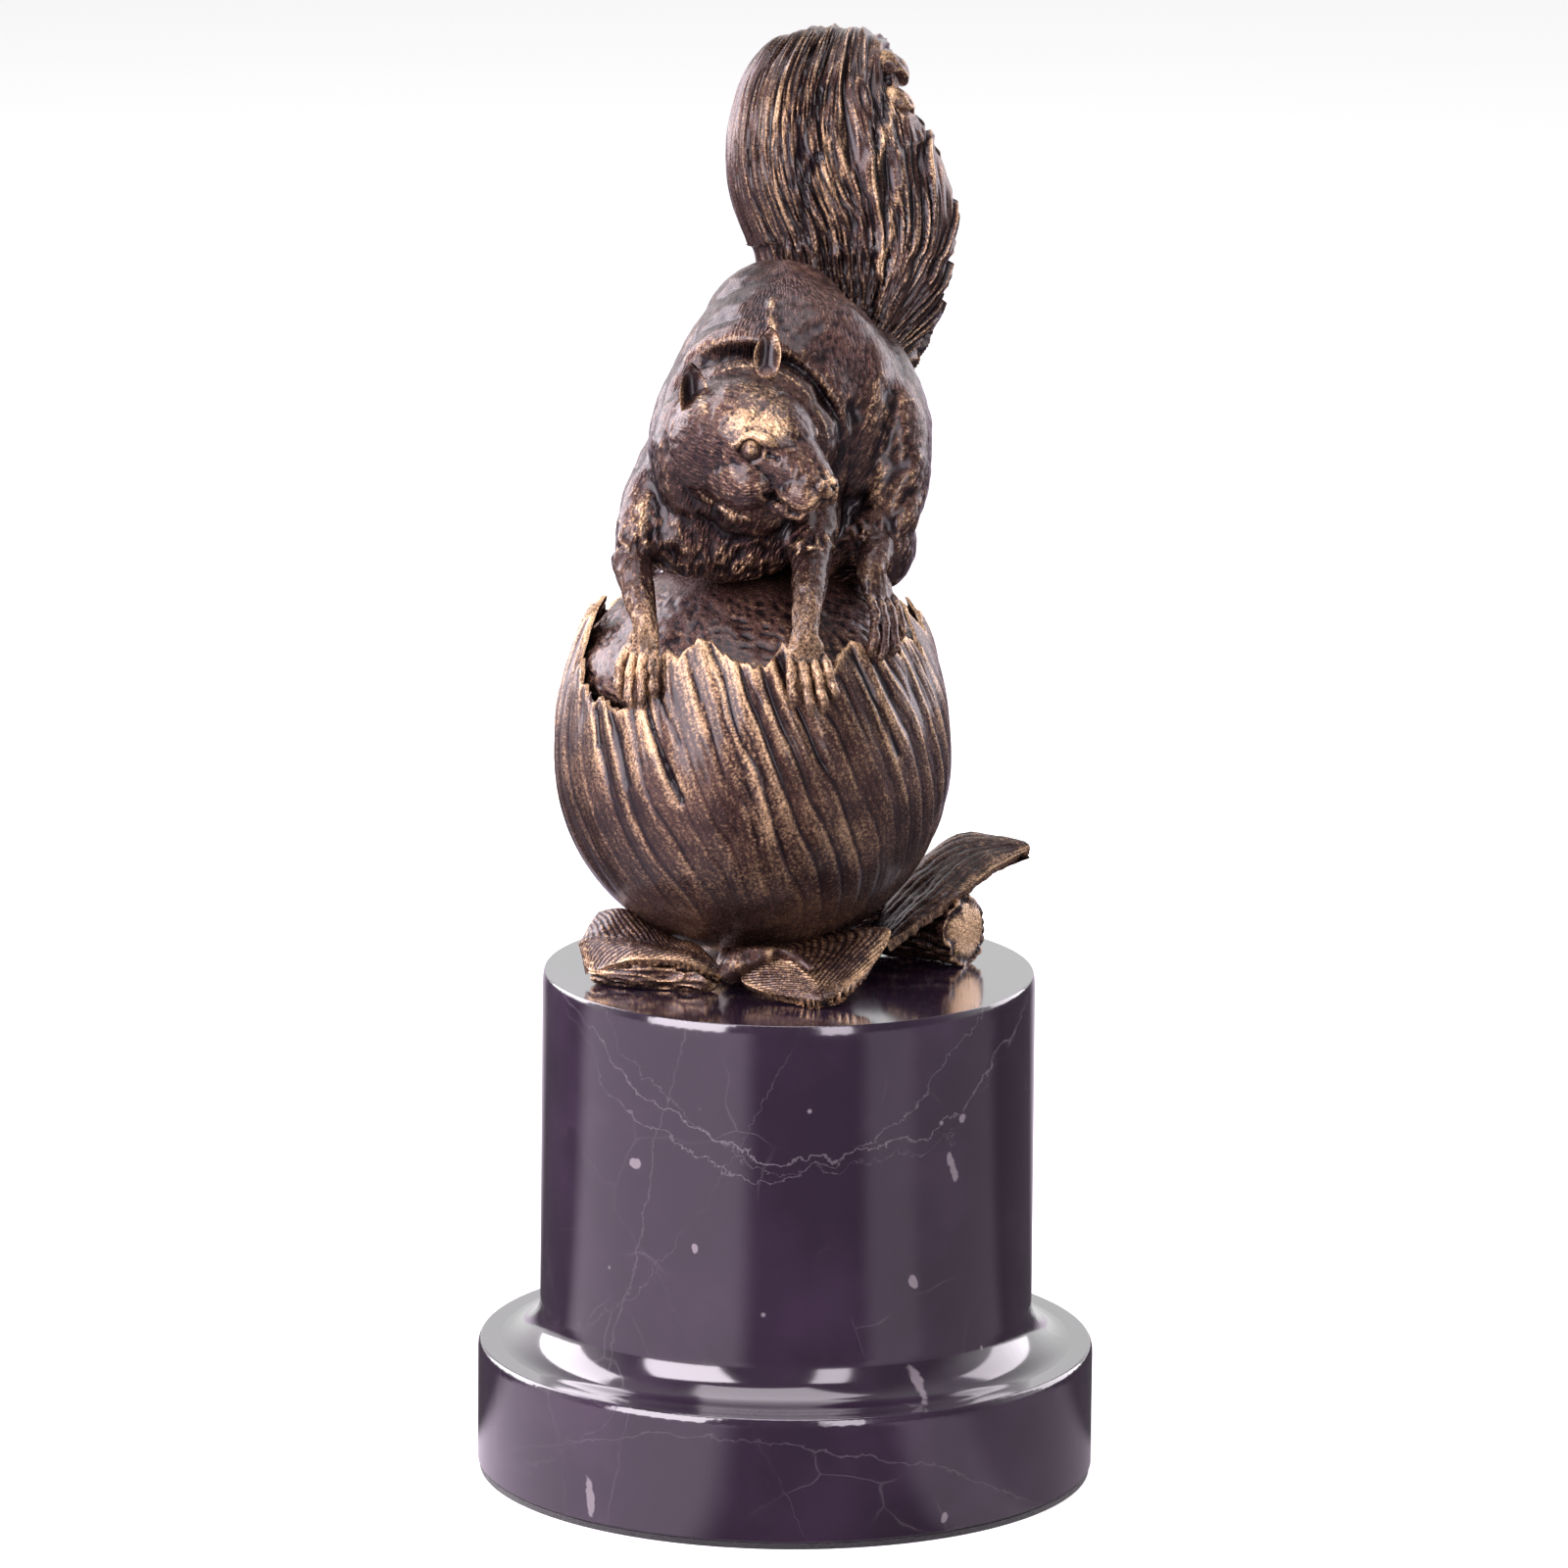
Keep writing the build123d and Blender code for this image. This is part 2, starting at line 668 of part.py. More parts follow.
with BuildPart() as tail:
    loft(tail_rings)
    split(bisect_by=tail_plane, keep=Keep.TOP)
    swell(
        [(centre, wide - cast_wall, high - cast_wall) for centre, wide, high in tail_rows[1:7]],
        mode=Mode.SUBTRACT,
    )
    plug_diameter = tail_spigot - spigot_gap * 2
    plug_bore = plug_diameter - cast_wall
    peg(tail_root, tail_facing, plug_bore, tail_depth * 0.5, mode=Mode.SUBTRACT)
    peg(tail_root, opposite(tail_facing), plug_diameter, spigot_length)
    peg(tail_root, opposite(tail_facing), plug_bore, spigot_length, mode=Mode.SUBTRACT)
tail.part.label = "tail"
export_step(tail.part, "parts/tail.step")

# Torso, crouched over the kernel, with the shoulders, upper arms and thighs cast in
torso_rows = [
    (neck, neck_half_width, neck_half_height),
    (on_body(-0.035, -0.13, 0.37), torso_width * 0.37, torso_height * 0.38),
    (on_body(0.05, 0.07, 0.42), torso_width * 0.42, torso_height * 0.46),
    (on_body(0.16, 0.295, 0.5), torso_width * 0.45, torso_height * 0.49),
    (on_body(0.26, 0.46, 0.555), torso_width * 0.35, torso_height * 0.345),
    (tail_root, root_half_width, root_half_height),
]
cavity_rows = [(torso_rows[1][0], neck_spigot * 0.6, neck_spigot * 0.6)]
cavity_rows += [(centre, wide - cast_wall, high - cast_wall) for centre, wide, high in torso_rows[2:5]]
with BuildPart() as torso:
    swell(torso_rows, first=opposite(neck_facing), last=tail_facing)
    split(bisect_by=neck_plane, keep=Keep.BOTTOM)
    split(bisect_by=tail_plane, keep=Keep.BOTTOM)
    swell(
        [
            (on_body(-0.2, -0.08, 0.36), torso_width * 0.16, torso_width * 0.17),
            (on_body(-0.38, -0.27, 0.2), torso_width * 0.11, torso_width * 0.12),
            (left_elbow, elbow_half, elbow_half),
        ],
        last=elbow_facing,
    )
    swell(
        [
            (on_body(0.19, -0.1, 0.26), torso_width * 0.14, torso_width * 0.14),
            (on_body(0.2, -0.31, 0.15), torso_width * 0.1, torso_width * 0.09),
            (right_elbow, elbow_half, elbow_half),
        ],
        last=elbow_facing,
    )
    swell(
        [
            (on_body(0.42, 0.34, 0.64), torso_width * 0.12, torso_width * 0.14),
            (on_body(0.46, 0.16, 0.44), torso_width * 0.175, torso_width * 0.27),
            (on_body(0.49, 0.0, 0.27), torso_width * 0.14, torso_width * 0.17),
            (right_knee, knee_half, knee_half),
        ],
        last=right_knee_facing,
    )
    swell(
        [
            (on_body(-0.12, 0.34, 0.64), torso_width * 0.12, torso_width * 0.14),
            (on_body(-0.2, 0.33, 0.42), torso_width * 0.165, torso_width * 0.24),
            (left_knee, knee_half, knee_half),
        ],
        last=left_knee_facing,
    )
    swell(cavity_rows, mode=Mode.SUBTRACT)
    peg(neck, opposite(neck_facing), neck_spigot, torso_depth * 0.3, mode=Mode.SUBTRACT)
    peg(tail_root, opposite(tail_facing), tail_spigot, torso_depth * 0.3, mode=Mode.SUBTRACT)
    for joint, facing in (
        (left_elbow, elbow_facing),
        (right_elbow, elbow_facing),
        (left_knee, left_knee_facing),
        (right_knee, right_knee_facing),
    ):
        socket = limb_spigot + spigot_gap * 2
        peg(joint, opposite(facing), socket, spigot_length + spigot_gap, mode=Mode.SUBTRACT)
    add(kernel_room.part, mode=Mode.SUBTRACT)
    add(husk_room.part, mode=Mode.SUBTRACT)
torso.part.label = "torso"
export_step(torso.part, "parts/torso.step")


def paw(angle, width):
    """Add four fingers that hang over the husk's rim at an angle round it."""
    hang_share = finger_length / husk_rise
    half = finger_diameter / 2
    for spread_share in (-0.38, -0.13, 0.13, 0.38):
        turn = angle + math.degrees(width * spread_share / husk_radius)
        swell(
            [
                (husk_point(turn, knuckle_share + hang_share * 0.3, half), half, half),
                (husk_point(turn, knuckle_share - hang_share * 0.35, half * 1.2), half, half),
                (husk_point(turn, knuckle_share - hang_share * 0.8, half * 0.7), half * 0.8, half * 0.7),
                (husk_point(turn, knuckle_share - hang_share, half * 0.2), half * 0.3, half * 0.3),
            ]
        )


# Lower legs, each from its seam at the torso to a paw that grips the husk's rim
knuckle_share = 0.46
palm_share = 0.53
wrist_share = 0.6
limbs = [
    ("foreleg_left", left_elbow, elbow_facing, elbow_half, left_hand_angle),
    ("foreleg_right", right_elbow, elbow_facing, elbow_half, right_hand_angle),
    ("hind_leg_left", left_knee, left_knee_facing, knee_half, left_foot_angle),
    ("hind_leg_right", right_knee, right_knee_facing, knee_half, right_foot_angle),
]
for name, joint, facing, joint_half, angle in limbs:
    in_front = name.startswith("foreleg")
    leg_width = foreleg_width if in_front else hind_leg_width
    hand_width = paw_width if in_front else hind_paw_width
    wrist_half = leg_width * 0.4
    shin_half = (joint_half + wrist_half) / 2
    paw_half = paw_thickness / 2
    wrist = husk_point(angle, wrist_share, leg_width * 0.42)
    with BuildPart() as limb:
        swell(
            [
                (joint, joint_half, joint_half),
                (between(joint, wrist, 0.5), shin_half, shin_half),
                (wrist, wrist_half, wrist_half),
                (husk_point(angle, palm_share, paw_half), hand_width * 0.42, paw_half),
                (husk_point(angle, knuckle_share, paw_half * 0.6), hand_width * 0.5, paw_half * 0.8),
            ],
            first=facing,
        )
        paw(angle, hand_width)
        peg(joint, opposite(facing), limb_spigot, spigot_length)
        add(husk_room.part, mode=Mode.SUBTRACT)
        add(kernel_room.part, mode=Mode.SUBTRACT)
    limb.part.label = name
    export_step(limb.part, f"parts/{name}.step")
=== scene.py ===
import itertools
import math

import bmesh
import bpy
import numpy as np
from mathutils import Matrix, Vector


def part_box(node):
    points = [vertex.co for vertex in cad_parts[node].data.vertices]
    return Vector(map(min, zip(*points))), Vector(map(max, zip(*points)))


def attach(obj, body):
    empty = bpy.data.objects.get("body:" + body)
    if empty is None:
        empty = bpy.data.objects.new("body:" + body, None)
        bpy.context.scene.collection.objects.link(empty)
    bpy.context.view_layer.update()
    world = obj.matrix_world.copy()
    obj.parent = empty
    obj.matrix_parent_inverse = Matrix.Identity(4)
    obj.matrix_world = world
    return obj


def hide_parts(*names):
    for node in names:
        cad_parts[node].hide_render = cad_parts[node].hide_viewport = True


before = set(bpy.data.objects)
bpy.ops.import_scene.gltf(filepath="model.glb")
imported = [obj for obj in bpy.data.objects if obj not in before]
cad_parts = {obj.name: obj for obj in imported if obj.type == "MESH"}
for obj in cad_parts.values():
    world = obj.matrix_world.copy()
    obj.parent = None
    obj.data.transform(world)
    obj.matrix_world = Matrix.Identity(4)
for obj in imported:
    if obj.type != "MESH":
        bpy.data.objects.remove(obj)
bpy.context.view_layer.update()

bl_info = {
    "name": "Squirrel figurine",
    "version": (1, 0, 0),
    "blender": (4, 5, 0),
    "location": "View3D > Sidebar > Figurine",
    "description": "Models a cast bronze squirrel on an open hazelnut over its marble base",
    "category": "Add Mesh",
}

# Pieces are worked in millimetres and reduced to metres when they are finished
MM = 1000.0
LENGTH = {"subtype": "DISTANCE", "unit": "LENGTH"}

# Boxes of the frame that the pieces are set out from, in millimetres
HUSK_LOW, HUSK_HIGH = (np.array(corner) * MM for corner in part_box("nut_husk"))
KERNEL_LOW, KERNEL_HIGH = (np.array(corner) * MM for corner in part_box("nut_kernel"))
STONE_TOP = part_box("marble_plinth")[1][2] * MM
NUT_X = (HUSK_LOW[0] + HUSK_HIGH[0]) / 2
HUSK_RADIUS = (HUSK_HIGH[0] - HUSK_LOW[0]) / 2
# Top of the kernel, on which the squirrel sits, and the stone right under the nut
PERCH = np.array((NUT_X, 0.0, KERNEL_HIGH[2]))
UNDER_NUT = np.array((NUT_X, 0.0, STONE_TOP))
# Widest line of the nut, and how far its egg reaches over and under that line
EQUATOR = STONE_TOP + 39.3
HUSK_RISE = 45.0
HUSK_DROP = 36.0

# Camera of the photograph, in millimetres, degrees and the picture's 1600 pixels
CAMERA_PLACE = np.array((-1.22, -1706.12, 493.37))
CAMERA_PITCH = math.radians(12.196)
CAMERA_ROLL = math.radians(0.561)
FOCAL_PIXELS = 10066.2
PHOTO_PIXELS = 1600
SENSOR = 36.0


class FigurineSizes(bpy.types.PropertyGroup):
    """Sizes of the cast surface that a user would change."""

    body_grid: bpy.props.FloatProperty(
        name="Body grid", description="Spacing of the body's mesh", default=0.00041, **LENGTH
    )
    head_grid: bpy.props.FloatProperty(
        name="Head grid", description="Spacing of the head's mesh", default=0.00030, **LENGTH
    )
    paw_grid: bpy.props.FloatProperty(
        name="Paw grid", description="Spacing of the paws' mesh", default=0.00022, **LENGTH
    )
    hair_length: bpy.props.FloatProperty(
        name="Hair length", description="Length of a chased stroke of fur", default=0.0014, **LENGTH
    )
    hair_width: bpy.props.FloatProperty(
        name="Hair width", description="Width of a chased stroke of fur", default=0.0006, **LENGTH
    )
    hair_depth: bpy.props.FloatProperty(
        name="Hair depth", description="Depth of a chased stroke of fur", default=0.00025, **LENGTH
    )
    tail_locks: bpy.props.IntProperty(
        name="Tail locks", description="Locks of hair across half of the tail", default=18
    )
    husk_ribs: bpy.props.IntProperty(name="Husk ribs", description="Ribs round the husk", default=46)


class FigurineColours(bpy.types.PropertyGroup):
    """Colours of the bronze and the stone."""

    patina: bpy.props.FloatVectorProperty(
        name="Patina", description="Brown of the patina", subtype="COLOR", default=(0.054, 0.027, 0.020)
    )
    deep: bpy.props.FloatVectorProperty(
        name="Deep patina", description="Dark of the hollows", subtype="COLOR", default=(0.010, 0.005, 0.006)
    )
    gold: bpy.props.FloatVectorProperty(
        name="Rubbed bronze", description="Bright rubbed metal", subtype="COLOR", default=(0.72, 0.51, 0.26)
    )
    stone: bpy.props.FloatVectorProperty(
        name="Stone", description="Ground of the marble", subtype="COLOR", default=(0.020, 0.011, 0.023)
    )
    vein: bpy.props.FloatVectorProperty(
        name="Vein", description="Veins of the marble", subtype="COLOR", default=(0.20, 0.17, 0.19)
    )


# Mesh tools


def deselect():
    bpy.ops.object.select_all(action="DESELECT")


def pick(*pieces):
    """Select only these pieces, with the first one active."""
    deselect()
    for piece in pieces:
        piece.select_set(True)
    bpy.context.view_layer.objects.active = pieces[0]


def points_of(piece):
    """Read a piece's points as an array."""
    values = np.empty(len(piece.data.vertices) * 3)
    piece.data.vertices.foreach_get("co", values)
    return values.reshape(-1, 3)


def set_points(piece, points):
    """Write a piece's points from an array."""
    piece.data.vertices.foreach_set("co", np.ascontiguousarray(points, dtype=np.float32).ravel())
    piece.data.update()


def normals_of(piece):
    """Read the normals at a piece's points."""
    values = np.empty(len(piece.data.vertices) * 3, dtype=np.float32)
    piece.data.vertex_normals.foreach_get("vector", values)
    return values.reshape(-1, 3)


def turn_outward(piece):
    """Point a closed piece's faces outwards."""
    shape = bmesh.new()
    shape.from_mesh(piece.data)
    bmesh.ops.recalc_face_normals(shape, faces=shape.faces)
    shape.to_mesh(piece.data)
    shape.free()


def apply_modifier(piece, kind, **settings):
    """Add one modifier to a piece with its settings and apply it."""
    pick(piece)
    modifier = piece.modifiers.new(kind.title(), kind)
    for name, value in settings.items():
        setattr(modifier, name, value)
    bpy.ops.object.modifier_apply(modifier=modifier.name)


def join(pieces):
    """Join pieces into the first of them."""
    pick(*pieces)
    if len(pieces) > 1:
        bpy.ops.object.join()
    return pieces[0]


def ball(centre, radii, segments=32):
    """Add one ellipsoid of clay."""
    deselect()
    bpy.ops.mesh.primitive_uv_sphere_add(
        segments=segments,
        ring_count=segments // 2,
        radius=1,
        location=centre,
        scale=radii,
    )
    piece = bpy.context.object
    bpy.ops.object.transform_apply(location=True, rotation=True, scale=True)
    return piece


# A ball of this many segments is divided from a coarser one, which is much faster to add
FINE_SEGMENTS = 150
FINE_LEVELS = 2


def fine_ball(segments, rings):
    """Add a unit ball, and divide a coarser one where it has many faces."""
    deselect()
    levels = FINE_LEVELS if segments >= FINE_SEGMENTS else 0
    coarse = 2**levels
    bpy.ops.mesh.primitive_uv_sphere_add(segments=segments // coarse, ring_count=rings // coarse, radius=1)
    piece = bpy.context.object
    if levels:
        apply_modifier(piece, "SUBSURF", subdivision_type="SIMPLE", levels=levels)
        set_points(piece, unit(points_of(piece)))
    return piece


def moved(rows, place):
    """Move rows of (x, y, z, ...) by a place in the frame."""
    rows = np.array(rows, dtype=float)
    rows[:, :3] += place
    return rows


def ball_ways(points):
    """Give each point of a unit ball its share of the way up and its angle round."""
    share = 1 - np.arccos(np.clip(points[:, 2], -1, 1)) / math.pi
    return share, np.arctan2(points[:, 1], points[:, 0])


def along(rows, shares):
    """Follow rows of numbers smoothly, at shares from 0 to 1 of the way through them."""
    rows = np.array(rows, dtype=float)
    last = len(rows) - 1
    place = np.clip(shares, 0, 1) * last
    index = np.minimum(place.astype(int), last - 1)
    part = (place - index)[:, None]
    before, start = rows[np.maximum(index - 1, 0)], rows[index]
    end, after = rows[index + 1], rows[np.minimum(index + 2, last)]
    slope_in, slope_out = (end - before) / 2, (after - start) / 2
    return (
        start * (2 * part**3 - 3 * part**2 + 1)
        + slope_in * (part**3 - 2 * part**2 + part)
        + end * (3 * part**2 - 2 * part**3)
        + slope_out * (part**3 - part**2)
    )


def unit(vectors):
    """Give each vector a length of one."""
    return vectors / np.maximum(np.linalg.norm(vectors, axis=-1, keepdims=True), 1e-9)


def swell(rows, across=(1, 0, 0), segments=48, rings=48, cap=0.08):
    """Turn a ball into a rounded form along rows of (x, y, z, half width, half height)."""
    piece = fine_ball(segments, rings)
    share, angle = ball_ways(points_of(piece))
    value = along(rows, share)
    step = 0.01
    ahead = unit(along(rows, share + step)[:, :3] - along(rows, share - step)[:, :3])
    side = np.array(across, dtype=float)
    side = unit(side - ahead * (ahead @ side)[:, None])
    rise = np.cross(ahead, side)
    ends = np.minimum(np.minimum(share, 1 - share) / cap, 1)
    close = np.sqrt(np.maximum(1 - (1 - ends) ** 2, 0))[:, None]
    points = (
        value[:, :3]
        + side * value[:, 3:4] * close * np.cos(angle)[:, None]
        + rise * value[:, 4:5] * close * np.sin(angle)[:, None]
    )
    set_points(piece, points)
    turn_outward(piece)
    return piece, share, angle


def fuse(pieces, grid, rounds):
    """Fuse joined clay into one skin and smooth its creases."""
    piece = join(pieces)
    apply_modifier(piece, "REMESH", mode="VOXEL", voxel_size=grid)
    if rounds:
        apply_modifier(piece, "SMOOTH", factor=0.5, iterations=rounds)
    return piece


# Large numbers that scramble whole ones
SCRAMBLE = (2246822519, 3266489917, 668265263, 374761393)


def mix_hash(cells, seed):
    """Give each whole-number cell its own value from 0 to 1."""
    total = np.full(cells[0].shape, seed * SCRAMBLE[3] + SCRAMBLE[2], dtype=np.int64)
    for cell, prime in zip(cells, SCRAMBLE):
        total = (total ^ (cell.astype(np.int64) * prime)) & 0xFFFFFFFF
        total = ((total ^ (total >> 15)) * SCRAMBLE[0]) & 0xFFFFFFFF
    total = (total ^ (total >> 13)) & 0xFFFFFF
    return total / 0xFFFFFF


def lumps(points, size, seed):
    """Give smooth noise from -1 to 1 with lumps of a size."""
    place = points / size
    cell = np.floor(place).astype(np.int64)
    part = place - cell
    part = part * part * (3 - 2 * part)
    total = np.zeros(len(points))
    for corner in itertools.product((0, 1), repeat=points.shape[1]):
        weight = np.ones(len(points))
        for axis, step in enumerate(corner):
            weight *= part[:, axis] if step else 1 - part[:, axis]
        total += weight * mix_hash([cell[:, axis] + step for axis, step in enumerate(corner)], seed)
    return total * 2 - 1


def ease(values, low, high):
    """Rise smoothly from 0 at low to 1 at high."""
    part = np.clip((values - low) / (high - low), 0, 1)
    return part * part * (3 - 2 * part)


def pixel_places(points):
    """Give the photograph's pixel column and row of each point."""
    sin_pitch, cos_pitch = math.sin(CAMERA_PITCH), math.cos(CAMERA_PITCH)
    sin_roll, cos_roll = math.sin(CAMERA_ROLL), math.cos(CAMERA_ROLL)
    away = points - CAMERA_PLACE
    depth = away @ np.array((0, cos_pitch, -sin_pitch))
    level = FOCAL_PIXELS * away[:, 0] / depth
    rise = FOCAL_PIXELS * (away @ np.array((0, sin_pitch, cos_pitch))) / depth
    middle = PHOTO_PIXELS / 2
    return np.stack(
        (middle + level * cos_roll + rise * sin_roll, middle + level * sin_roll - rise * cos_roll), axis=-1
    ), depth


# A point of a mesh this many pixels from the nearest one counts as being at the same spot
SPOT_PIXELS = 2.5


def surface_spots(piece, pixels):
    """Find where pixels of the photograph fall on the near side of a piece."""
    points = points_of(piece)
    places, depth = pixel_places(points)
    spots = []
    for pixel in pixels:
        off = np.linalg.norm(places - np.array(pixel), axis=1)
        near = np.where(off < off.min() + SPOT_PIXELS)[0]
        spots.append(points[near[np.argmin(depth[near])]])
    return np.array(spots)


def path_distance(points, path):
    """Give each point's distance from a path of straight runs."""
    path = np.array(path, dtype=float)
    if len(path) == 1:
        return np.linalg.norm(points - path[0], axis=1)
    best = np.full(len(points), 1e9)
    for start, end in zip(path[:-1], path[1:]):
        run = end - start
        share = np.clip((points - start) @ run / max(run @ run, 1e-9), 0, 1)
        gap = np.linalg.norm(points - start - share[:, None] * run, axis=1)
        best = np.minimum(best, gap)
    return best


def trim(piece, place, facing):
    """Cut away what lies beyond a plane and close the cut."""
    pick(piece)
    bpy.ops.object.mode_set(mode="EDIT")
    bpy.ops.mesh.select_all(action="SELECT")
    bpy.ops.mesh.bisect(plane_co=place, plane_no=facing, use_fill=True, clear_outer=True)
    bpy.ops.object.mode_set(mode="OBJECT")


def trim_all(parts, cuts):
    """Trim loose parts at planes, and drop those that vanish."""
    kept = []
    for part in parts:
        for place, facing in cuts:
            trim(part, place, facing)
        if len(part.data.polygons) > 3:
            kept.append(part)
        else:
            bpy.data.objects.remove(part)
    return kept


def lift_along(piece, amounts):
    """Move each point of a piece along its normal by an amount in millimetres."""
    set_points(piece, points_of(piece) + normals_of(piece) * np.asarray(amounts)[:, None])


def crests(values):
    """Turn smooth noise into sharp crests with broad hollows between them."""
    return 1 - 2 * np.abs(values)


def press(piece, path, width, lift, mirror=None):
    """Raise or groove a piece along a path, and along its mirror image in a plane."""
    points = points_of(piece)
    weight = np.exp(-((path_distance(points, path) / width) ** 2))
    if mirror:
        place, facing = mirror
        path = np.array(path, dtype=float)
        path = path - 2 * ((path - place) @ facing)[:, None] * facing
        weight = np.maximum(weight, np.exp(-((path_distance(points, path) / width) ** 2)))
    set_points(piece, points + normals_of(piece) * (weight * lift)[:, None])


def press_all(piece, strokes, mirror=None):
    """Press strokes given as pixels of the photograph, width and lift in millimetres."""
    for pixels, width, lift in strokes:
        press(piece, surface_spots(piece, pixels), width, lift, mirror)


def smoothed(piece, points, rounds):
    """Average points with their neighbours along the edges."""
    edges = np.empty(len(piece.data.edges) * 2, dtype=np.int32)
    piece.data.edges.foreach_get("vertices", edges)
    first, second = edges.reshape(-1, 2).T
    count = np.bincount(first, minlength=len(points)) + np.bincount(second, minlength=len(points))
    count = np.maximum(count, 1)
    for _ in range(rounds):
        total = np.zeros_like(points)
        for axis in range(3):
            total[:, axis] = np.bincount(first, points[second, axis], len(points))
            total[:, axis] += np.bincount(second, points[first, axis], len(points))
        points = (points + total / count[:, None]) / 2
    return points


def add_values(piece, name, values):
    """Store one number at each point of a piece."""
    layer = piece.data.attributes.get(name) or piece.data.attributes.new(name, "FLOAT", "POINT")
    layer.data.foreach_set("value", values.astype(np.float32))


def add_vectors(piece, name, values):
    """Store one vector at each point of a piece."""
    layer = piece.data.attributes.new(name, "FLOAT_VECTOR", "POINT")
    layer.data.foreach_set("vector", np.ascontiguousarray(values, dtype=np.float32).ravel())


def measure_relief(piece, rounds, depth):
    """Store how far each point stands over its neighbourhood, from -1 to 1."""
    points = points_of(piece)
    over = ((points - smoothed(piece, points, rounds)) * normals_of(piece)).sum(axis=1)
    add_values(piece, "relief", np.clip(over / depth, -1, 1))


def rub(piece, places, radius, strength=1.0):
    """Mark where hands have rubbed the bronze bright; the same marks also paint the highlight in the eye."""
    layer = piece.data.attributes.get("worn_and_glint")
    worn_and_glint = np.zeros(len(piece.data.vertices))
    if layer:
        layer.data.foreach_get("value", worn_and_glint)
    gap = path_distance(points_of(piece), places)
    add_values(piece, "worn_and_glint", worn_and_glint + np.maximum(strength - worn_and_glint, 0) * np.exp(-((gap / radius) ** 2)))


def rub_all(piece, marks):
    """Rub marks given as pixels of the photograph, radius in millimetres and strength."""
    for pixels, radius, strength in marks:
        rub(piece, surface_spots(piece, pixels), radius, strength)


# Wander of the combed fur: size of its lumps in millimetres, strength, and seeds for three directions
FUR_WANDER = [(7.0, 0.5, (3, 4, 5)), (1.5, 0.45, (6, 7, 8))]
FUR_START = (0.31, 0.87, 0.4)


def comb(piece, pole, axis, turns, length):
    """Store coordinates in which strokes of fur run away from a pole, round an axis."""
    points = points_of(piece)
    axis = unit(np.array(axis, dtype=float))
    away = points - np.array(pole, dtype=float)
    height = away @ axis
    level = away - height[:, None] * axis
    out = np.linalg.norm(level, axis=1)
    round_way = level / np.maximum(out, 1e-6)[:, None]
    run = np.sqrt(out**2 + height**2)
    warp = np.zeros_like(points)
    for size, strength, seeds in FUR_WANDER:
        warp += np.stack([lumps(points, size, seed) for seed in seeds], axis=-1) * strength
    first = unit(np.cross(axis, FUR_START))
    second = np.cross(axis, first)
    around = np.stack((round_way @ first, round_way @ second), axis=-1) * turns
    add_vectors(piece, "fur", np.concatenate((around, (run / length)[:, None]), axis=1) + warp)


# Edges sharper than this many degrees stay sharp
SMOOTH_ANGLE = 60


def finish_piece(piece, name, material, node):
    """Reduce a piece to metres, smooth it, dress it and hand it to the frame."""
    pick(piece)
    piece.data.transform(Matrix.Scale(1 / MM, 4))
    bpy.ops.object.shade_smooth_by_angle(angle=math.radians(SMOOTH_ANGLE))
    piece.name = name
    piece.data.name = name
    piece.data.materials.clear()
    piece.data.materials.append(material)
    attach(piece, "root")
    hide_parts(node)


# Materials


class Wire:
    """A number socket on which Python's operators add Math nodes."""

    def __init__(self, shop, socket):
        self.shop = shop
        self.socket = socket

    def maths(self, operation, *values):
        """Add one Math node."""
        return self.shop.number("ShaderNodeMath", 0, {"operation": operation}, dict(enumerate(values)))

    def __add__(self, other):
        return self.maths("ADD", self, other)

    def __sub__(self, other):
        return self.maths("SUBTRACT", self, other)

    def __mul__(self, other):
        return self.maths("MULTIPLY", self, other)

    def __rsub__(self, other):
        return self.maths("SUBTRACT", other, self)

    __radd__ = __add__
    __rmul__ = __mul__

    def larger(self, other):
        """Keep the larger of two values."""
        return self.maths("MAXIMUM", self, other)

    def smaller(self, other):
        """Keep the smaller of two values."""
        return self.maths("MINIMUM", self, other)

    def size(self):
        """Drop the sign."""
        return self.maths("ABSOLUTE", self)

    def ramp(self, low, high):
        """Rise smoothly from 0 at low to 1 at high."""
        sockets = {"Value": self, "From Min": low, "From Max": high}
        return self.shop.number("ShaderNodeMapRange", 0, {"interpolation_type": "SMOOTHSTEP"}, sockets)


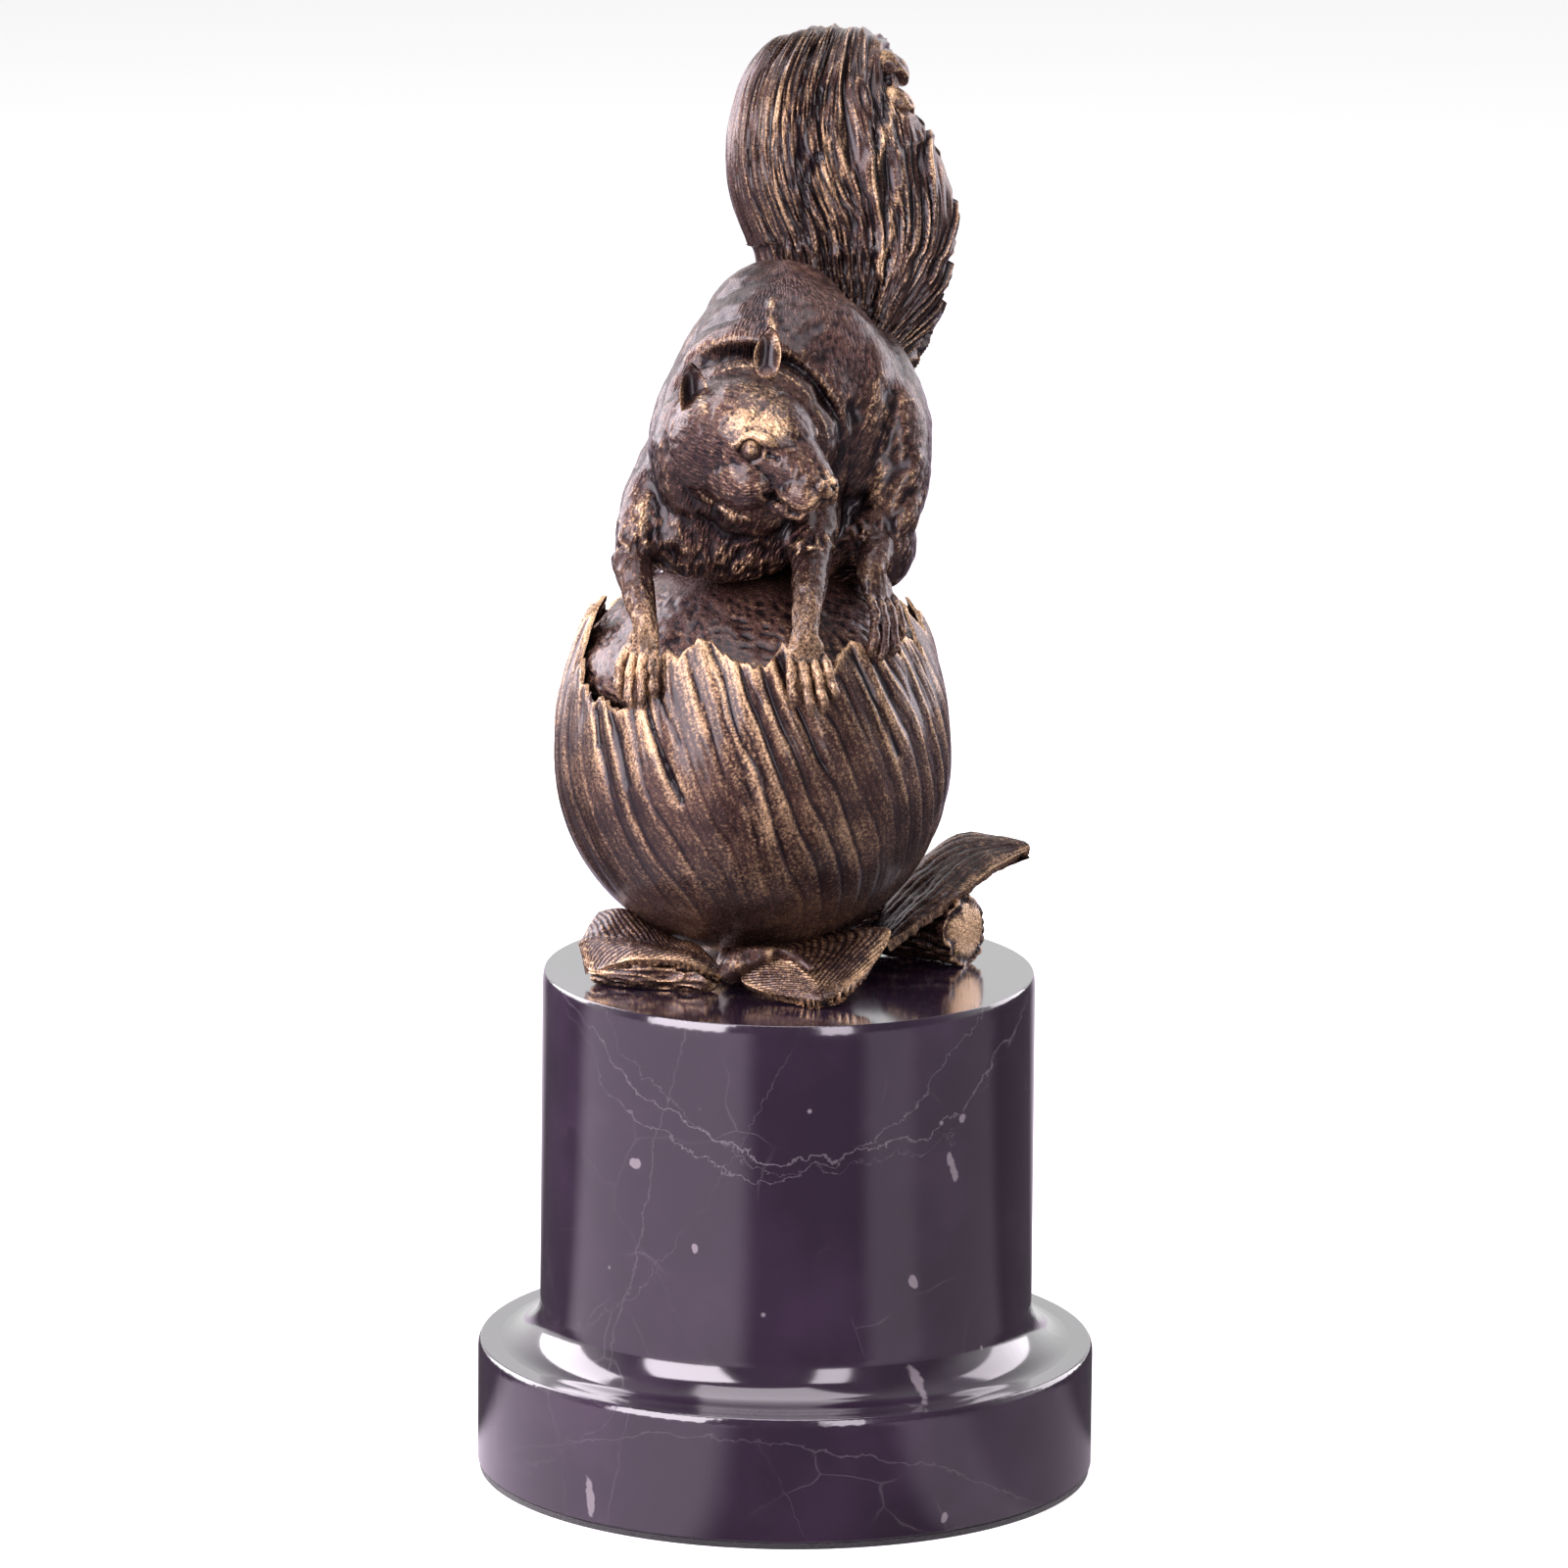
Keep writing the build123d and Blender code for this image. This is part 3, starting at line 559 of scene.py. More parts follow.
class Shop:
    """Builds the nodes of one material or world."""

    def __init__(self, owner):
        self.owner = owner
        owner.use_nodes = True
        self.tree = owner.node_tree
        self.tree.nodes.clear()

    def feed(self, target, value):
        """Link a socket, or set it where the value is a plain one."""
        if isinstance(value, Wire):
            value = value.socket
        if isinstance(value, bpy.types.NodeSocket):
            self.tree.links.new(value, target)
        else:
            target.default_value = value

    def add(self, kind, settings=None, sockets=None):
        """Add a node, make its settings, then set or link its sockets."""
        node = self.tree.nodes.new(kind)
        for name, value in (settings or {}).items():
            setattr(node, name, value)
        for name, value in (sockets or {}).items():
            self.feed(node.inputs[name], value)
        return node

    def number(self, kind, output, settings=None, sockets=None):
        """Add a node and give one of its outputs as a number to reckon with."""
        return Wire(self, self.add(kind, settings, sockets).outputs[output])

    def attribute(self, name):
        """Read a number stored on the mesh."""
        return self.number("ShaderNodeAttribute", "Fac", {"attribute_name": name})

    def place(self):
        """Read the place in the object."""
        return self.add("ShaderNodeTexCoord").outputs["Object"]

    def scaled(self, vector, scale):
        """Stretch a vector by three factors."""
        return self.add("ShaderNodeMapping", None, {"Vector": vector, "Scale": scale}).outputs[0]

    def split(self, vector):
        """Take a vector apart into three numbers."""
        node = self.add("ShaderNodeSeparateXYZ", None, {"Vector": vector})
        return [Wire(self, output) for output in node.outputs]

    def noise(self, vector, scale, detail=2.0, roughness=0.5):
        """Add smooth noise."""
        sockets = {"Vector": vector, "Scale": scale, "Detail": detail, "Roughness": roughness}
        return self.number("ShaderNodeTexNoise", "Fac", None, sockets)

    def cells(self, feature, vector, scale):
        """Add a Voronoi node."""
        return self.add("ShaderNodeTexVoronoi", {"feature": feature}, {"Vector": vector, "Scale": scale})

    def blend(self, share, first, second):
        """Mix two colours, each a colour value or a socket, by a share."""
        node = self.add("ShaderNodeMix", {"data_type": "RGBA"})
        colours = [socket for socket in node.inputs if socket.type == "RGBA"]
        for target, value in zip((node.inputs["Factor"], *colours), (share, first, second)):
            self.feed(target, value)
        return [socket for socket in node.outputs if socket.type == "RGBA"][0]

    def bump(self, height, depth):
        """Add a bump of a depth in metres."""
        sockets = {"Height": height, "Distance": depth, "Strength": 1.0}
        return self.add("ShaderNodeBump", None, sockets).outputs["Normal"]

    def layer(self, share, first, second):
        """Mix two shaders by a share."""
        return self.add("ShaderNodeMixShader", None, {0: share, 1: first.outputs[0], 2: second.outputs[0]})

    def glow(self, kind, colour, strength=1.0):
        """Add an emission or a background of one colour."""
        return self.add(kind, None, {"Color": (*colour, 1.0), "Strength": strength})

    def surface(self, **sockets):
        """Finish the material with one Principled shader."""
        named = {name.replace("_", " "): value for name, value in sockets.items()}
        shader = self.add("ShaderNodeBsdfPrincipled", None, named)
        self.add("ShaderNodeOutputMaterial", None, {"Surface": shader.outputs[0]})
        return self.owner


def material_shop(name):
    """Start a new material."""
    return Shop(bpy.data.materials.new(name))


def full(colour, share=1.0):
    """Give a colour its fourth value, darkened by a share."""
    return (colour[0] * share, colour[1] * share, colour[2] * share, 1.0)


# What makes bronze bright: its ridges, its rubbed places with the painted highlight in the eye, its fine
# speckle and its broad clouds
RIDGE_SHINE = 0.80
WORN_SHINE = 0.75
SPECKLE_SHINE = 2.2
CLOUD_SHINE = 0.8
# The patina's warmer tint, as factors of its colour
WARM_TINT = (1.7, 1.85, 1.7)


def bronze(name, fur=0.0, gilding=0.0, darkness=1.0, grain=1.0, stretch=None):
    """Make patinated bronze: dark in its hollows, rubbed bright on what stands out."""
    colours = bpy.context.scene.figurine_colours
    shop = material_shop(name)
    place = shop.place()
    relief = shop.attribute("relief")
    worn_and_glint = shop.attribute("worn_and_glint")
    cloud = shop.noise(place, 95, 3.0)
    speckle = shop.noise(place, 2100, 3.0, 0.7)
    height = shop.noise(place, 1500, 4.0, 0.7) * (0.9 * grain)
    ridge = relief
    if fur:
        flow = shop.add("ShaderNodeAttribute", {"attribute_name": "fur"}).outputs["Vector"]
        tuft = 1 - Wire(shop, shop.cells("F1", flow, 1.0).outputs["Distance"]).ramp(0.05, 0.8)
        height = height + tuft * (fur * 1.5)
        ridge = relief + (tuft - 0.5) * (0.55 * fur)
    if stretch:
        lines = shop.noise(shop.scaled(place, stretch), 1.0, 3.0, 0.6)
        height = height + lines * 0.9
        ridge = ridge + (lines - 0.5) * 0.5
    bright = ridge * RIDGE_SHINE + worn_and_glint * WORN_SHINE + (speckle - 0.5) * SPECKLE_SHINE
    rubbed = (bright + (cloud - 0.5) * CLOUD_SHINE + gilding).ramp(0.26, 1.25)
    hollow = (ridge + (cloud - 0.5) * 0.4).ramp(0.15, -0.5)
    warm = [part * tint for part, tint in zip(colours.patina, WARM_TINT)]
    patina = shop.blend(cloud.ramp(0.35, 0.7), full(colours.patina, darkness), full(warm, darkness))
    patina = shop.blend(hollow, patina, full(colours.deep, darkness))
    return shop.surface(
        Base_Color=shop.blend(rubbed, patina, full(colours.gold)),
        Metallic=0.88,
        Roughness=0.29 - rubbed * 0.04 + (speckle - 0.5) * 0.5,
        Normal=shop.bump(height, bpy.context.scene.figurine_sizes.hair_depth),
        Coat_Weight=0.7,
        Coat_Roughness=0.22,
        Coat_IOR=1.5,
        Coat_Tint=(0.98, 0.88, 1.0, 1.0),
    )


def marble(name):
    """Make polished black marble with pale jagged veins and flecks."""
    colours = bpy.context.scene.figurine_colours
    shop = material_shop(name)
    place = shop.place()
    east, north, high = shop.split(place)
    jag = shop.noise(place, 70, 7.0, 0.62) - 0.5
    kink = shop.noise(place, 420, 4.0, 0.6) - 0.5
    fade = shop.noise(place, 55, 2.0)
    mist = shop.noise(place, 38, 5.0, 0.6)
    # A net of hairlines between the cells of a warped pattern
    ripple = shop.add("ShaderNodeTexNoise", None, {"Vector": place, "Scale": 60.0}).outputs["Color"]
    net = shop.cells("DISTANCE_TO_EDGE", shop.blend(0.012, place, ripple), 42.0).outputs["Distance"]
    veins = (1 - Wire(shop, net).ramp(0.0, 0.010)) * fade.ramp(0.50, 0.7) * 0.16
    for slope_x, slope_y, base, wander, width, strength in VEINS:
        sheet = high + east * slope_x + north * slope_y - base + jag * wander + kink * (wander * 0.14)
        line = 1 - sheet.size().ramp(width * 0.25, width)
        veins = veins.larger(line * (fade * 1.5 - 0.2 + strength * 0.3) * strength)
    # Dust: a small dot in a few of many cells
    dust = shop.cells("F1", place, 260.0)
    chance = shop.number("ShaderNodeSeparateColor", 0, None, {"Color": dust.outputs["Color"]})
    dot = 1 - Wire(shop, dust.outputs["Distance"]).ramp(0.05, 0.16)
    veins = veins.larger(dot * chance.ramp(0.972, 0.98) * 0.9)
    front = north.ramp(0.0, -0.01)
    for spot_x, spot_z, wide, tall, lean in FLECKS:
        off_x = (east - spot_x) + (high - spot_z) * lean
        off_z = high - spot_z
        reach = (off_x * off_x) * (1 / wide**2) + (off_z * off_z) * (1 / tall**2) + kink * 4.0
        veins = veins.larger((1 - reach.ramp(0.5, 1.3)) * front * 0.95)
    ground = shop.blend(mist.ramp(0.42, 0.75), full(colours.stone), full(colours.stone, 1.8))
    turning = shop.noise(shop.scaled(place, (25.0, 25.0, 5200.0)), 1.0, 2.0)
    colour = shop.blend(veins.smaller(1.0), ground, full(colours.vein))
    return shop.surface(
        Base_Color=colour,
        Roughness=0.12 + veins * 0.2 + (turning - 0.5) * 0.06,
        Normal=shop.bump(turning * 0.5 - veins * 0.4, 0.000006),
        IOR=1.6,
        Coat_Weight=1.0,
        Coat_Roughness=0.11,
        Coat_IOR=1.6,
    )


# Each vein is a leaning sheet: slopes to x and y, height at the axis, wander, width and strength
VEINS = [
    (0.10, -0.80, 0.1030, 0.016, 0.00026, 0.62),
    (-0.16, -1.30, 0.1215, 0.018, 0.00020, 0.5),
    (0.22, -1.05, 0.1120, 0.022, 0.00016, 0.4),
    (-2.0, -0.9, 0.1250, 0.020, 0.00022, 0.22),
    (1.7, 0.3, -0.0050, 0.020, 0.00022, 0.16),
    (-6.0, -1.4, 0.2550, 0.040, 0.0010, 0.22),
    (5.5, -0.5, -0.1850, 0.040, 0.0010, 0.18),
    (0.10, 0.55, -0.0110, 0.010, 0.00022, 0.26),
    (-9.0, 0.5, 0.4600, 0.050, 0.0014, 0.22),
]
# Placed white flecks: x, z, half width, half height and lean, in metres
FLECKS = [
    (-0.0265, 0.064, 0.0011, 0.0009, 0.0),
    (0.029, 0.0635, 0.0007, 0.0026, 0.25),
    (0.0305, 0.072, 0.0006, 0.0009, 0.0),
    (-0.016, 0.0505, 0.0005, 0.0008, 0.0),
    (0.0232, 0.0262, 0.0010, 0.0026, 0.5),
    (0.0222, 0.044, 0.0007, 0.0012, 0.3),
    (-0.034, 0.006, 0.0007, 0.0035, 0.1),
    (0.028, 0.004, 0.0006, 0.0009, 0.0),
]


def felt(name):
    """Make dense black felt with loose fibres."""
    shop = material_shop(name)
    fibre = shop.noise(shop.place(), 2600, 5.0, 0.7)
    colour = shop.blend(fibre.ramp(0.35, 0.75), (0.010, 0.009, 0.011, 1.0), (0.045, 0.042, 0.048, 1.0))
    return shop.surface(
        Base_Color=colour, Roughness=0.97, Sheen_Weight=0.4, Normal=shop.bump(fibre, 0.00035)
    )


def zinc(name):
    """Make zinc plated steel with turning marks."""
    shop = material_shop(name)
    place = shop.place()
    marks = shop.noise(shop.scaled(place, (600.0, 600.0, 2600.0)), 1.0, 3.0)
    cloud = shop.noise(place, 240, 3.0)
    colour = shop.blend(cloud.ramp(0.3, 0.7), (0.46, 0.47, 0.49, 1.0), (0.62, 0.62, 0.60, 1.0))
    return shop.surface(
        Base_Color=colour, Metallic=1.0, Roughness=0.3 + marks * 0.2, Normal=shop.bump(marks, 0.00002)
    )


# Operators


def dress(material, nodes):
    """Give nodes that stay as they are a material."""
    for node in nodes:
        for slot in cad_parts[node].material_slots:
            slot.material = material


class FIGURINE_OT_base(bpy.types.Operator):
    """Dress the marble base and its felt pad"""

    bl_idname = "figurine.base"
    bl_label = "Marble base"

    def execute(self, context):
        dress(marble("marble"), ["marble_plinth"])
        dress(felt("felt"), ["felt_pad"])
        return {"FINISHED"}


class FIGURINE_OT_fasteners(bpy.types.Operator):
    """Dress the stud, washer and nut inside the base"""

    bl_idname = "figurine.fasteners"
    bl_label = "Fasteners"

    def execute(self, context):
        dress(zinc("zinc_steel"), ["mounting_stud", "plain_washer", "hex_nut"])
        return {"FINISHED"}


def egg_radius(height):
    """Give the husk's outer radius at heights over its widest line."""
    reach = np.where(height > 0, HUSK_RISE, HUSK_DROP)
    return HUSK_RADIUS * np.sqrt(np.maximum(1 - (height / reach) ** 2, 0.0))


def husk_place(angle, height, stand_off=0.0):
    """Give a point outside the husk, at degrees round it and a height over its widest line."""
    out = float(egg_radius(np.array(float(height)))) + stand_off
    turn = math.radians(angle)
    return np.array((NUT_X + out * math.cos(turn), out * math.sin(turn), EQUATOR + height))


class FIGURINE_OT_husk(bpy.types.Operator):
    """Model the open husk with its ribs, cracks and torn rim"""

    bl_idname = "figurine.husk"
    bl_label = "Nut husk"

    def execute(self, context):
        piece = fine_ball(560, 172)
        share, angle = ball_ways(points_of(piece))
        rim = rim_height(np.degrees(angle))
        outside = share < OUTSIDE_SHARE
        climb = np.where(outside, share / OUTSIDE_SHARE, (1 - share) / (1 - OUTSIDE_SHARE))
        bottom = STONE_TOP + HUSK_LIFT - EQUATOR
        rise = (rim - bottom) * (1 - np.cos(climb * HUSK_BEND)) / (1 - math.cos(HUSK_BEND))
        height = np.where(outside, bottom + rise, HUSK_FLOOR + (rim - HUSK_FLOOR) * climb)
        radius = egg_radius(height)
        ribs, strength = husk_ribs(angle, height, context.scene.figurine_sizes.husk_ribs)
        near_rim = ease(rim - height, 9.0, 0.0)
        outward = ribs + near_rim * 0.35 * strength
        wall = HUSK_WALL - HUSK_THINNING * near_rim
        inner = np.maximum(radius - 0.2 + outward * 0.6 - wall, 0) * np.sqrt(np.minimum(climb / 0.35, 1))
        radius = np.where(outside, (radius + outward - 0.35) * np.minimum(climb / 0.12, 1), inner)
        points = np.stack(
            (NUT_X + radius * np.cos(angle), radius * np.sin(angle), EQUATOR + height), axis=-1
        )
        set_points(piece, points)
        turn_outward(piece)
        press_all(piece, HUSK_CRACKS)
        measure_relief(piece, 14, 0.24)
        rub_all(piece, HUSK_WORN)
        metal = bronze("bronze_husk", gilding=0.20, grain=1.3, stretch=(1100.0, 1100.0, 160.0))
        finish_piece(piece, "husk_shell", metal, "nut_husk")
        return {"FINISHED"}


# Husk: share of the ball's way up that makes the outside, bend of that way, foot over the stone,
# floor of the inside over the widest line, wall and its thinning at the rim
OUTSIDE_SHARE = 0.8
HUSK_BEND = math.pi * 0.72
HUSK_LIFT = 4.5
HUSK_FLOOR = 10.5
HUSK_WALL = 1.7
HUSK_THINNING = 0.9
# Small ribs: radians that they lean for each millimetre, the side where they lean most, the share of
# a rib at which it crests, its height and the depth of the fine grooves on it
RIB_SLANT = 0.0125
RIB_SIDE = math.radians(-62)
RIB_CREST = 0.78
RIB_HEIGHT = 0.42
FINE_GROOVE = 0.09
# Main ribs, which the solid has too
MAIN_RIBS = 16
MAIN_TWIST = math.radians(26.0) / HUSK_RISE
MAIN_GROOVE = 0.35


def husk_ribs(angle, height, count):
    """Give how far the husk's ribs stand out at each point, and how strong each rib is."""
    slant = RIB_SLANT * (0.35 + 0.65 * ease(np.cos(angle - RIB_SIDE), -0.6, 0.7))
    rib_place = (angle + (height - 20) * slant) / math.tau * count
    ring = np.stack((np.cos(angle) * 6, np.sin(angle) * 6, height * 0.05), axis=-1)
    rib_place = rib_place + lumps(ring, 1.0, 8) * 0.35
    rib = np.floor(rib_place)
    part = rib_place - rib
    strength = 0.25 + 1.0 * mix_hash([np.mod(rib, count)], 5)
    edge = np.where(part < RIB_CREST, ease(part, 0.0, RIB_CREST), 1 - ease(part, RIB_CREST, 1.0))
    fading = ease(height, -36, -8) * 0.75 + ease(height, 0, 20) * 0.6
    ribs = (edge - 0.5) * strength * fading * RIB_HEIGHT
    main_place = (angle + height * MAIN_TWIST) / math.tau * MAIN_RIBS
    main_gap = np.abs(main_place - np.round(main_place))
    ribs -= ease(main_gap, 0.17, 0.0) * MAIN_GROOVE * ease(height, -12, 6)
    fine_place = rib_place * 3.0 + lumps(ring * 3.0, 1.0, 9) * 0.4
    fine = np.abs(fine_place - np.round(fine_place)) * 2
    ribs -= (1 - ease(fine, 0.0, 0.5)) * FINE_GROOVE * fading
    cell = np.stack((np.cos(angle) * 22, np.sin(angle) * 22, height * 0.45), axis=-1)
    ribs += lumps(cell, 1.6, 12) * 0.08 + lumps(cell, 5.0, 13) * 0.25
    return ribs, strength


# Heights of the torn rim over the widest line: pairs of degrees round the nut and millimetres
RIM = [
    (-180, 26), (-175, 25), (-170, 28), (-166, 24), (-162, 18), (-160, 19.4), (-156, 15.5), (-152, 14.7),
    (-147, 13), (-139, 14), (-134, 12.5), (-129.5, 13.6), (-127, 17), (-125, 20.8), (-120, 23.5),
    (-115.5, 22.6), (-112, 24.5), (-109.3, 26.6), (-105, 25.2), (-99.6, 24.0), (-92.3, 22.2), (-85.6, 21.6),
    (-79.6, 25), (-76, 22), (-70, 19), (-63, 21), (-57, 24.5), (-53, 25.2), (-48, 22.5), (-43, 26.0),
    (-34, 22), (-27, 25), (-20, 21), (-14, 27), (-6, 22.5), (1, 26.5), (8, 21), (15, 27), (25, 22),
    (31, 27.5), (40, 22), (49, 26), (57, 20.5), (66, 27), (74, 23), (82, 27.5), (90, 21), (99, 26),
    (107, 22), (116, 27), (124, 20), (133, 22), (141, 27), (150, 21.5), (158, 26.5), (166, 21), (173, 26),
    (180, 26),
]


def rim_height(degrees):
    """Give the height of the torn rim at each angle, with splinters."""
    angles, heights = np.array(RIM, dtype=float).T
    base = np.interp(degrees, angles, heights)
    turn = np.radians(degrees)
    ring = np.stack((np.cos(turn), np.sin(turn)), axis=-1)
    return base + lumps(ring, 0.035, 21) * 0.8 + lumps(ring, 0.014, 22) * 0.35


# Cracks and rubbed ribs, in pixels of the photograph
HUSK_CRACKS = [
    ([(655, 716), (668, 752), (680, 788), (692, 815)], 0.5, -0.9),
    ([(664, 700), (676, 724), (690, 760)], 0.5, -0.3),
    ([(602, 706), (606, 730), (609, 760)], 0.5, -0.4),
    ([(620, 720), (628, 752), (640, 800)], 0.5, -0.3),
    ([(870, 660), (893, 712), (918, 770)], 0.5, -0.3),
]
HUSK_WORN = [
    ([(687, 668), (700, 700), (715, 745)], 2.2, 0.45),
    ([(716, 652), (735, 700), (760, 770), (785, 850)], 3.0, 0.45),
    ([(742, 668), (757, 712), (780, 770)], 2.0, 0.35),
    ([(603, 640), (604, 700), (612, 780)], 2.5, 0.35),
    ([(650, 726), (658, 760)], 1.6, 0.5),
    ([(640, 890), (700, 905), (800, 900), (860, 860)], 5.0, 0.25),
    ([(871, 660), (900, 740), (925, 800)], 2.0, 0.25),
]


class FIGURINE_OT_kernel(bpy.types.Operator):
    """Model the domed kernel with its leathery skin"""

    bl_idname = "figurine.kernel"
    bl_label = "Nut kernel"

    def execute(self, context):
        middle = (KERNEL_LOW + KERNEL_HIGH) / 2
        radius = (KERNEL_HIGH[0] - KERNEL_LOW[0]) / 2
        dome = KERNEL_HIGH[2] - KERNEL_LOW[2] - KERNEL_SKIRT
        flat = middle * np.array((1, 1, 0))
        piece = ball(flat, (1, 1, 1), segments=256)
        points = points_of(piece) - flat
        level = np.linalg.norm(points[:, :2], axis=1)
        up = points[:, 2].copy()
        points[:, :2] *= (radius + KERNEL_SPREAD * ease(up, 0.5, 0.15))[:, None]
        drop = KERNEL_SKIRT + KERNEL_DROP
        points[:, 2] = KERNEL_LOW[2] + KERNEL_SKIRT + np.where(up > 0, up * dome, up * drop)
        points = points + flat
        set_points(piece, points)
        turn_outward(piece)
        lean = points @ np.array(((1.0, 0.0, 0.25), (0.0, 1.0, 0.0), (0.35, 0.0, 1.3)))
        skin = crests(lumps(lean, 1.3, 31)) * 0.30 + crests(lumps(lean, 0.7, 32)) * 0.16
        skin += lumps(points, 6.0, 33) * 0.4
        rough = ease(level, 0.50, 0.7)
        lift_along(piece, (skin - 0.7) * (0.15 + 0.85 * rough) * 0.8)
        measure_relief(piece, 8, 0.12)
        metal = bronze("bronze_kernel", darkness=1.3, grain=1.8, gilding=-0.32)
        finish_piece(piece, "kernel_dome", metal, "nut_kernel")
        return {"FINISHED"}


# Kernel: height of its skirt, and how far it spreads and drops behind the husk's rim
KERNEL_SKIRT = 3.0
KERNEL_SPREAD = 1.9
KERNEL_DROP = 7.0


def chase_fur(piece, pole, axis, radius, settle=1.0):
    """Comb a piece of the squirrel and roughen it with clumps."""
    sizes = bpy.context.scene.figurine_sizes
    width, length = sizes.hair_width * MM, sizes.hair_length * MM
    points = points_of(piece)
    clumps = lumps(points, 3.2, 41) * 0.16 + lumps(points, 1.4, 42) * 0.10
    set_points(piece, points + normals_of(piece) * (clumps * settle)[:, None])
    comb(piece, pole, axis, radius / width, length)


def body_clay():
    """Lay out the clay of the torso, the upper arms and the thighs."""
    clay = [swell(moved(rows, PERCH), cap=cap)[0] for rows, cap in TORSO_FORMS]
    return clay + [ball(PERCH + np.array(place), radii) for place, radii in TORSO_LUMPS]


def head_clay():
    """Lay out the clay of the head without its ears."""
    clay = [head_ball(*form) for form in HEAD_FORMS]
    return clay + [swell(head_rows(HEAD_SNOUT), across=HEAD_SIDE, cap=0.1)[0]]


def head_gap(points):
    """Give each point's distance from the line through the skull and the nose."""
    return path_distance(points, [SKULL, head_place((20.0, 0, 0))])


class FIGURINE_OT_torso(bpy.types.Operator):
    """Model the torso with its shoulders, upper arms and thighs"""

    bl_idname = "figurine.torso"
    bl_label = "Torso"

    def execute(self, context):
        grid = context.scene.figurine_sizes.body_grid * MM
        skull = trim_all(head_clay(), [(SKULL + HEAD_AHEAD * NECK_REACH, HEAD_AHEAD)])
        piece = fuse(body_clay() + skull, grid, 8)
        points = points_of(piece)
        softer = smoothed(piece, points, 20)
        share = ease(head_gap(points), HEAD_SEAM, HEAD_SEAM + 6)[:, None]
        set_points(piece, points + (softer - points) * share)
        hollow_under(piece)
        press_all(piece, TORSO_STROKES)
        points = points_of(piece)
        chest = ease(points[:, 2] - PERCH[2], 14, 4) * ease(-points[:, 1], 4, 12)
        tufts = crests(lumps(points * np.array((1, 1, 0.5)), 1.6, 51)) * 0.32 * chest
        lift_along(piece, tufts)
        chase_fur(piece, PERCH + np.array((2.0, 12.0, 44.0)), (0.25, 0.2, 1.0), 22.0)
        lift_along(piece, -1.2 * ease(head_gap(points_of(piece)), HEAD_SEAM, HEAD_SEAM - 2.0))
        measure_relief(piece, 10, 0.14)
        rub_all(piece, TORSO_WORN)
        finish_piece(piece, "squirrel_torso", bronze("bronze_fur", fur=1.0), "torso")
        return {"FINISHED"}


# Room of the nut under the squirrel: its middle under the kernel's top, and its radii
NUT_ROOM_DROP = 20.5
NUT_ROOM = np.array((29.6, 29.6, 20.2))


def hollow_under(piece):
    """Keep a form of the squirrel off the kernel and the husk that it sits on."""
    middle = PERCH - np.array((0.0, 0.0, NUT_ROOM_DROP))
    away = points_of(piece) - middle
    reach = np.linalg.norm(away / NUT_ROOM, axis=1)
    inside = (reach < 1) & (away[:, 2] > -3)
    away[inside] /= reach[inside][:, None]
    set_points(piece, middle + away)


# Distance from the head's line at which the head's piece takes over from the torso's, and how far
# the torso's clay goes on ahead of the skull's middle
HEAD_SEAM = 13.6
NECK_REACH = 3.0

# Forms of the torso over the kernel's top: x, y, z, half width and half height along each
TORSO_FORMS = [
    ([(-2.7, -14, 21.0, 9.5, 10), (-1.7, -5.7, 18.9, 18.1, 19.4), (2.45, 3.1, 21.4, 20.6, 23.5),
      (7.84, 13.0, 25.5, 22.0, 25.0), (12.7, 20.2, 28.3, 17.4, 18.0), (16.4, 25.4, 31.4, 12.0, 9.6),
      (19.0, 29.0, 34.0, 8.0, 6.0)], 0.10),
    ([(-7.0, -1, 22, 8, 8), (-12.0, -5.0, 17.5, 8.2, 8.8), (-17.6, -10.5, 11.4, 5.9, 6.2),
      (-20.8, -16.0, 3.6, 3.6, 3.6), (-21.3, -18.0, -0.5, 2.3, 2.3)], 0.14),
    ([(7.0, 0, 17, 7, 7), (9.4, -6.4, 12.5, 6.6, 6.4), (9.8, -13.6, 7.7, 4.9, 4.6),
      (9.8, -18.4, 3.2, 3.4, 3.4), (9.9, -20.0, 0.0, 2.2, 2.2)], 0.14),
    ([(18.0, 17, 36, 4.5, 5.5), (20.6, 14.0, 31.6, 6.6, 7.4), (22.4, 7.0, 22.4, 8.6, 13.0),
      (23.9, 0.0, 13.8, 7.0, 8.4), (24.1, -5.0, 8.4, 4.9, 4.9), (24.0, -7.0, 5.0, 3.6, 3.6)], 0.14),
    ([(-4.5, 17, 36, 5, 6), (-6.5, 15.0, 31.6, 6.4, 7.4), (-9.8, 14.5, 21.4, 8.4, 12.0),
      (-14.6, 13.4, 10.8, 5.4, 5.4), (-16.0, 13.2, 7.0, 4, 4)], 0.14),
]
TORSO_LUMPS = [
    ((-6.0, -12.5, 7.0), (16.0, 6.5, 9.0)),
    ((-12.5, -9.0, 17.0), (7.5, 8.0, 10.0)),
    ((-8.5, -15.0, 17.0), (8.0, 6.5, 9.5)),
    ((-1.0, -17.0, 14.0), (8.0, 5.5, 7.5)),
    ((3.8, 13.0, 38.0), (13.5, 12.0, 12.9)),
    ((16.5, 2.0, 4.0), (9.5, 12.0, 9.5)),
    ((22.3, -3.0, 3.4), (6.2, 8.0, 8.4)),
    ((-11.0, 7.0, 5.0), (9.0, 10.0, 9.0)),
    ((-6.4, -17.0, 23.0), (9.5, 9.0, 10.5)),
    ((-11.4, -13.5, 21.0), (7.0, 8.5, 11.5)),
    ((-1.0, -10.5, 28.0), (13.0, 8.0, 9.2)),
    ((6.5, -10.0, 22.5), (8.5, 7.5, 9.5)),
]
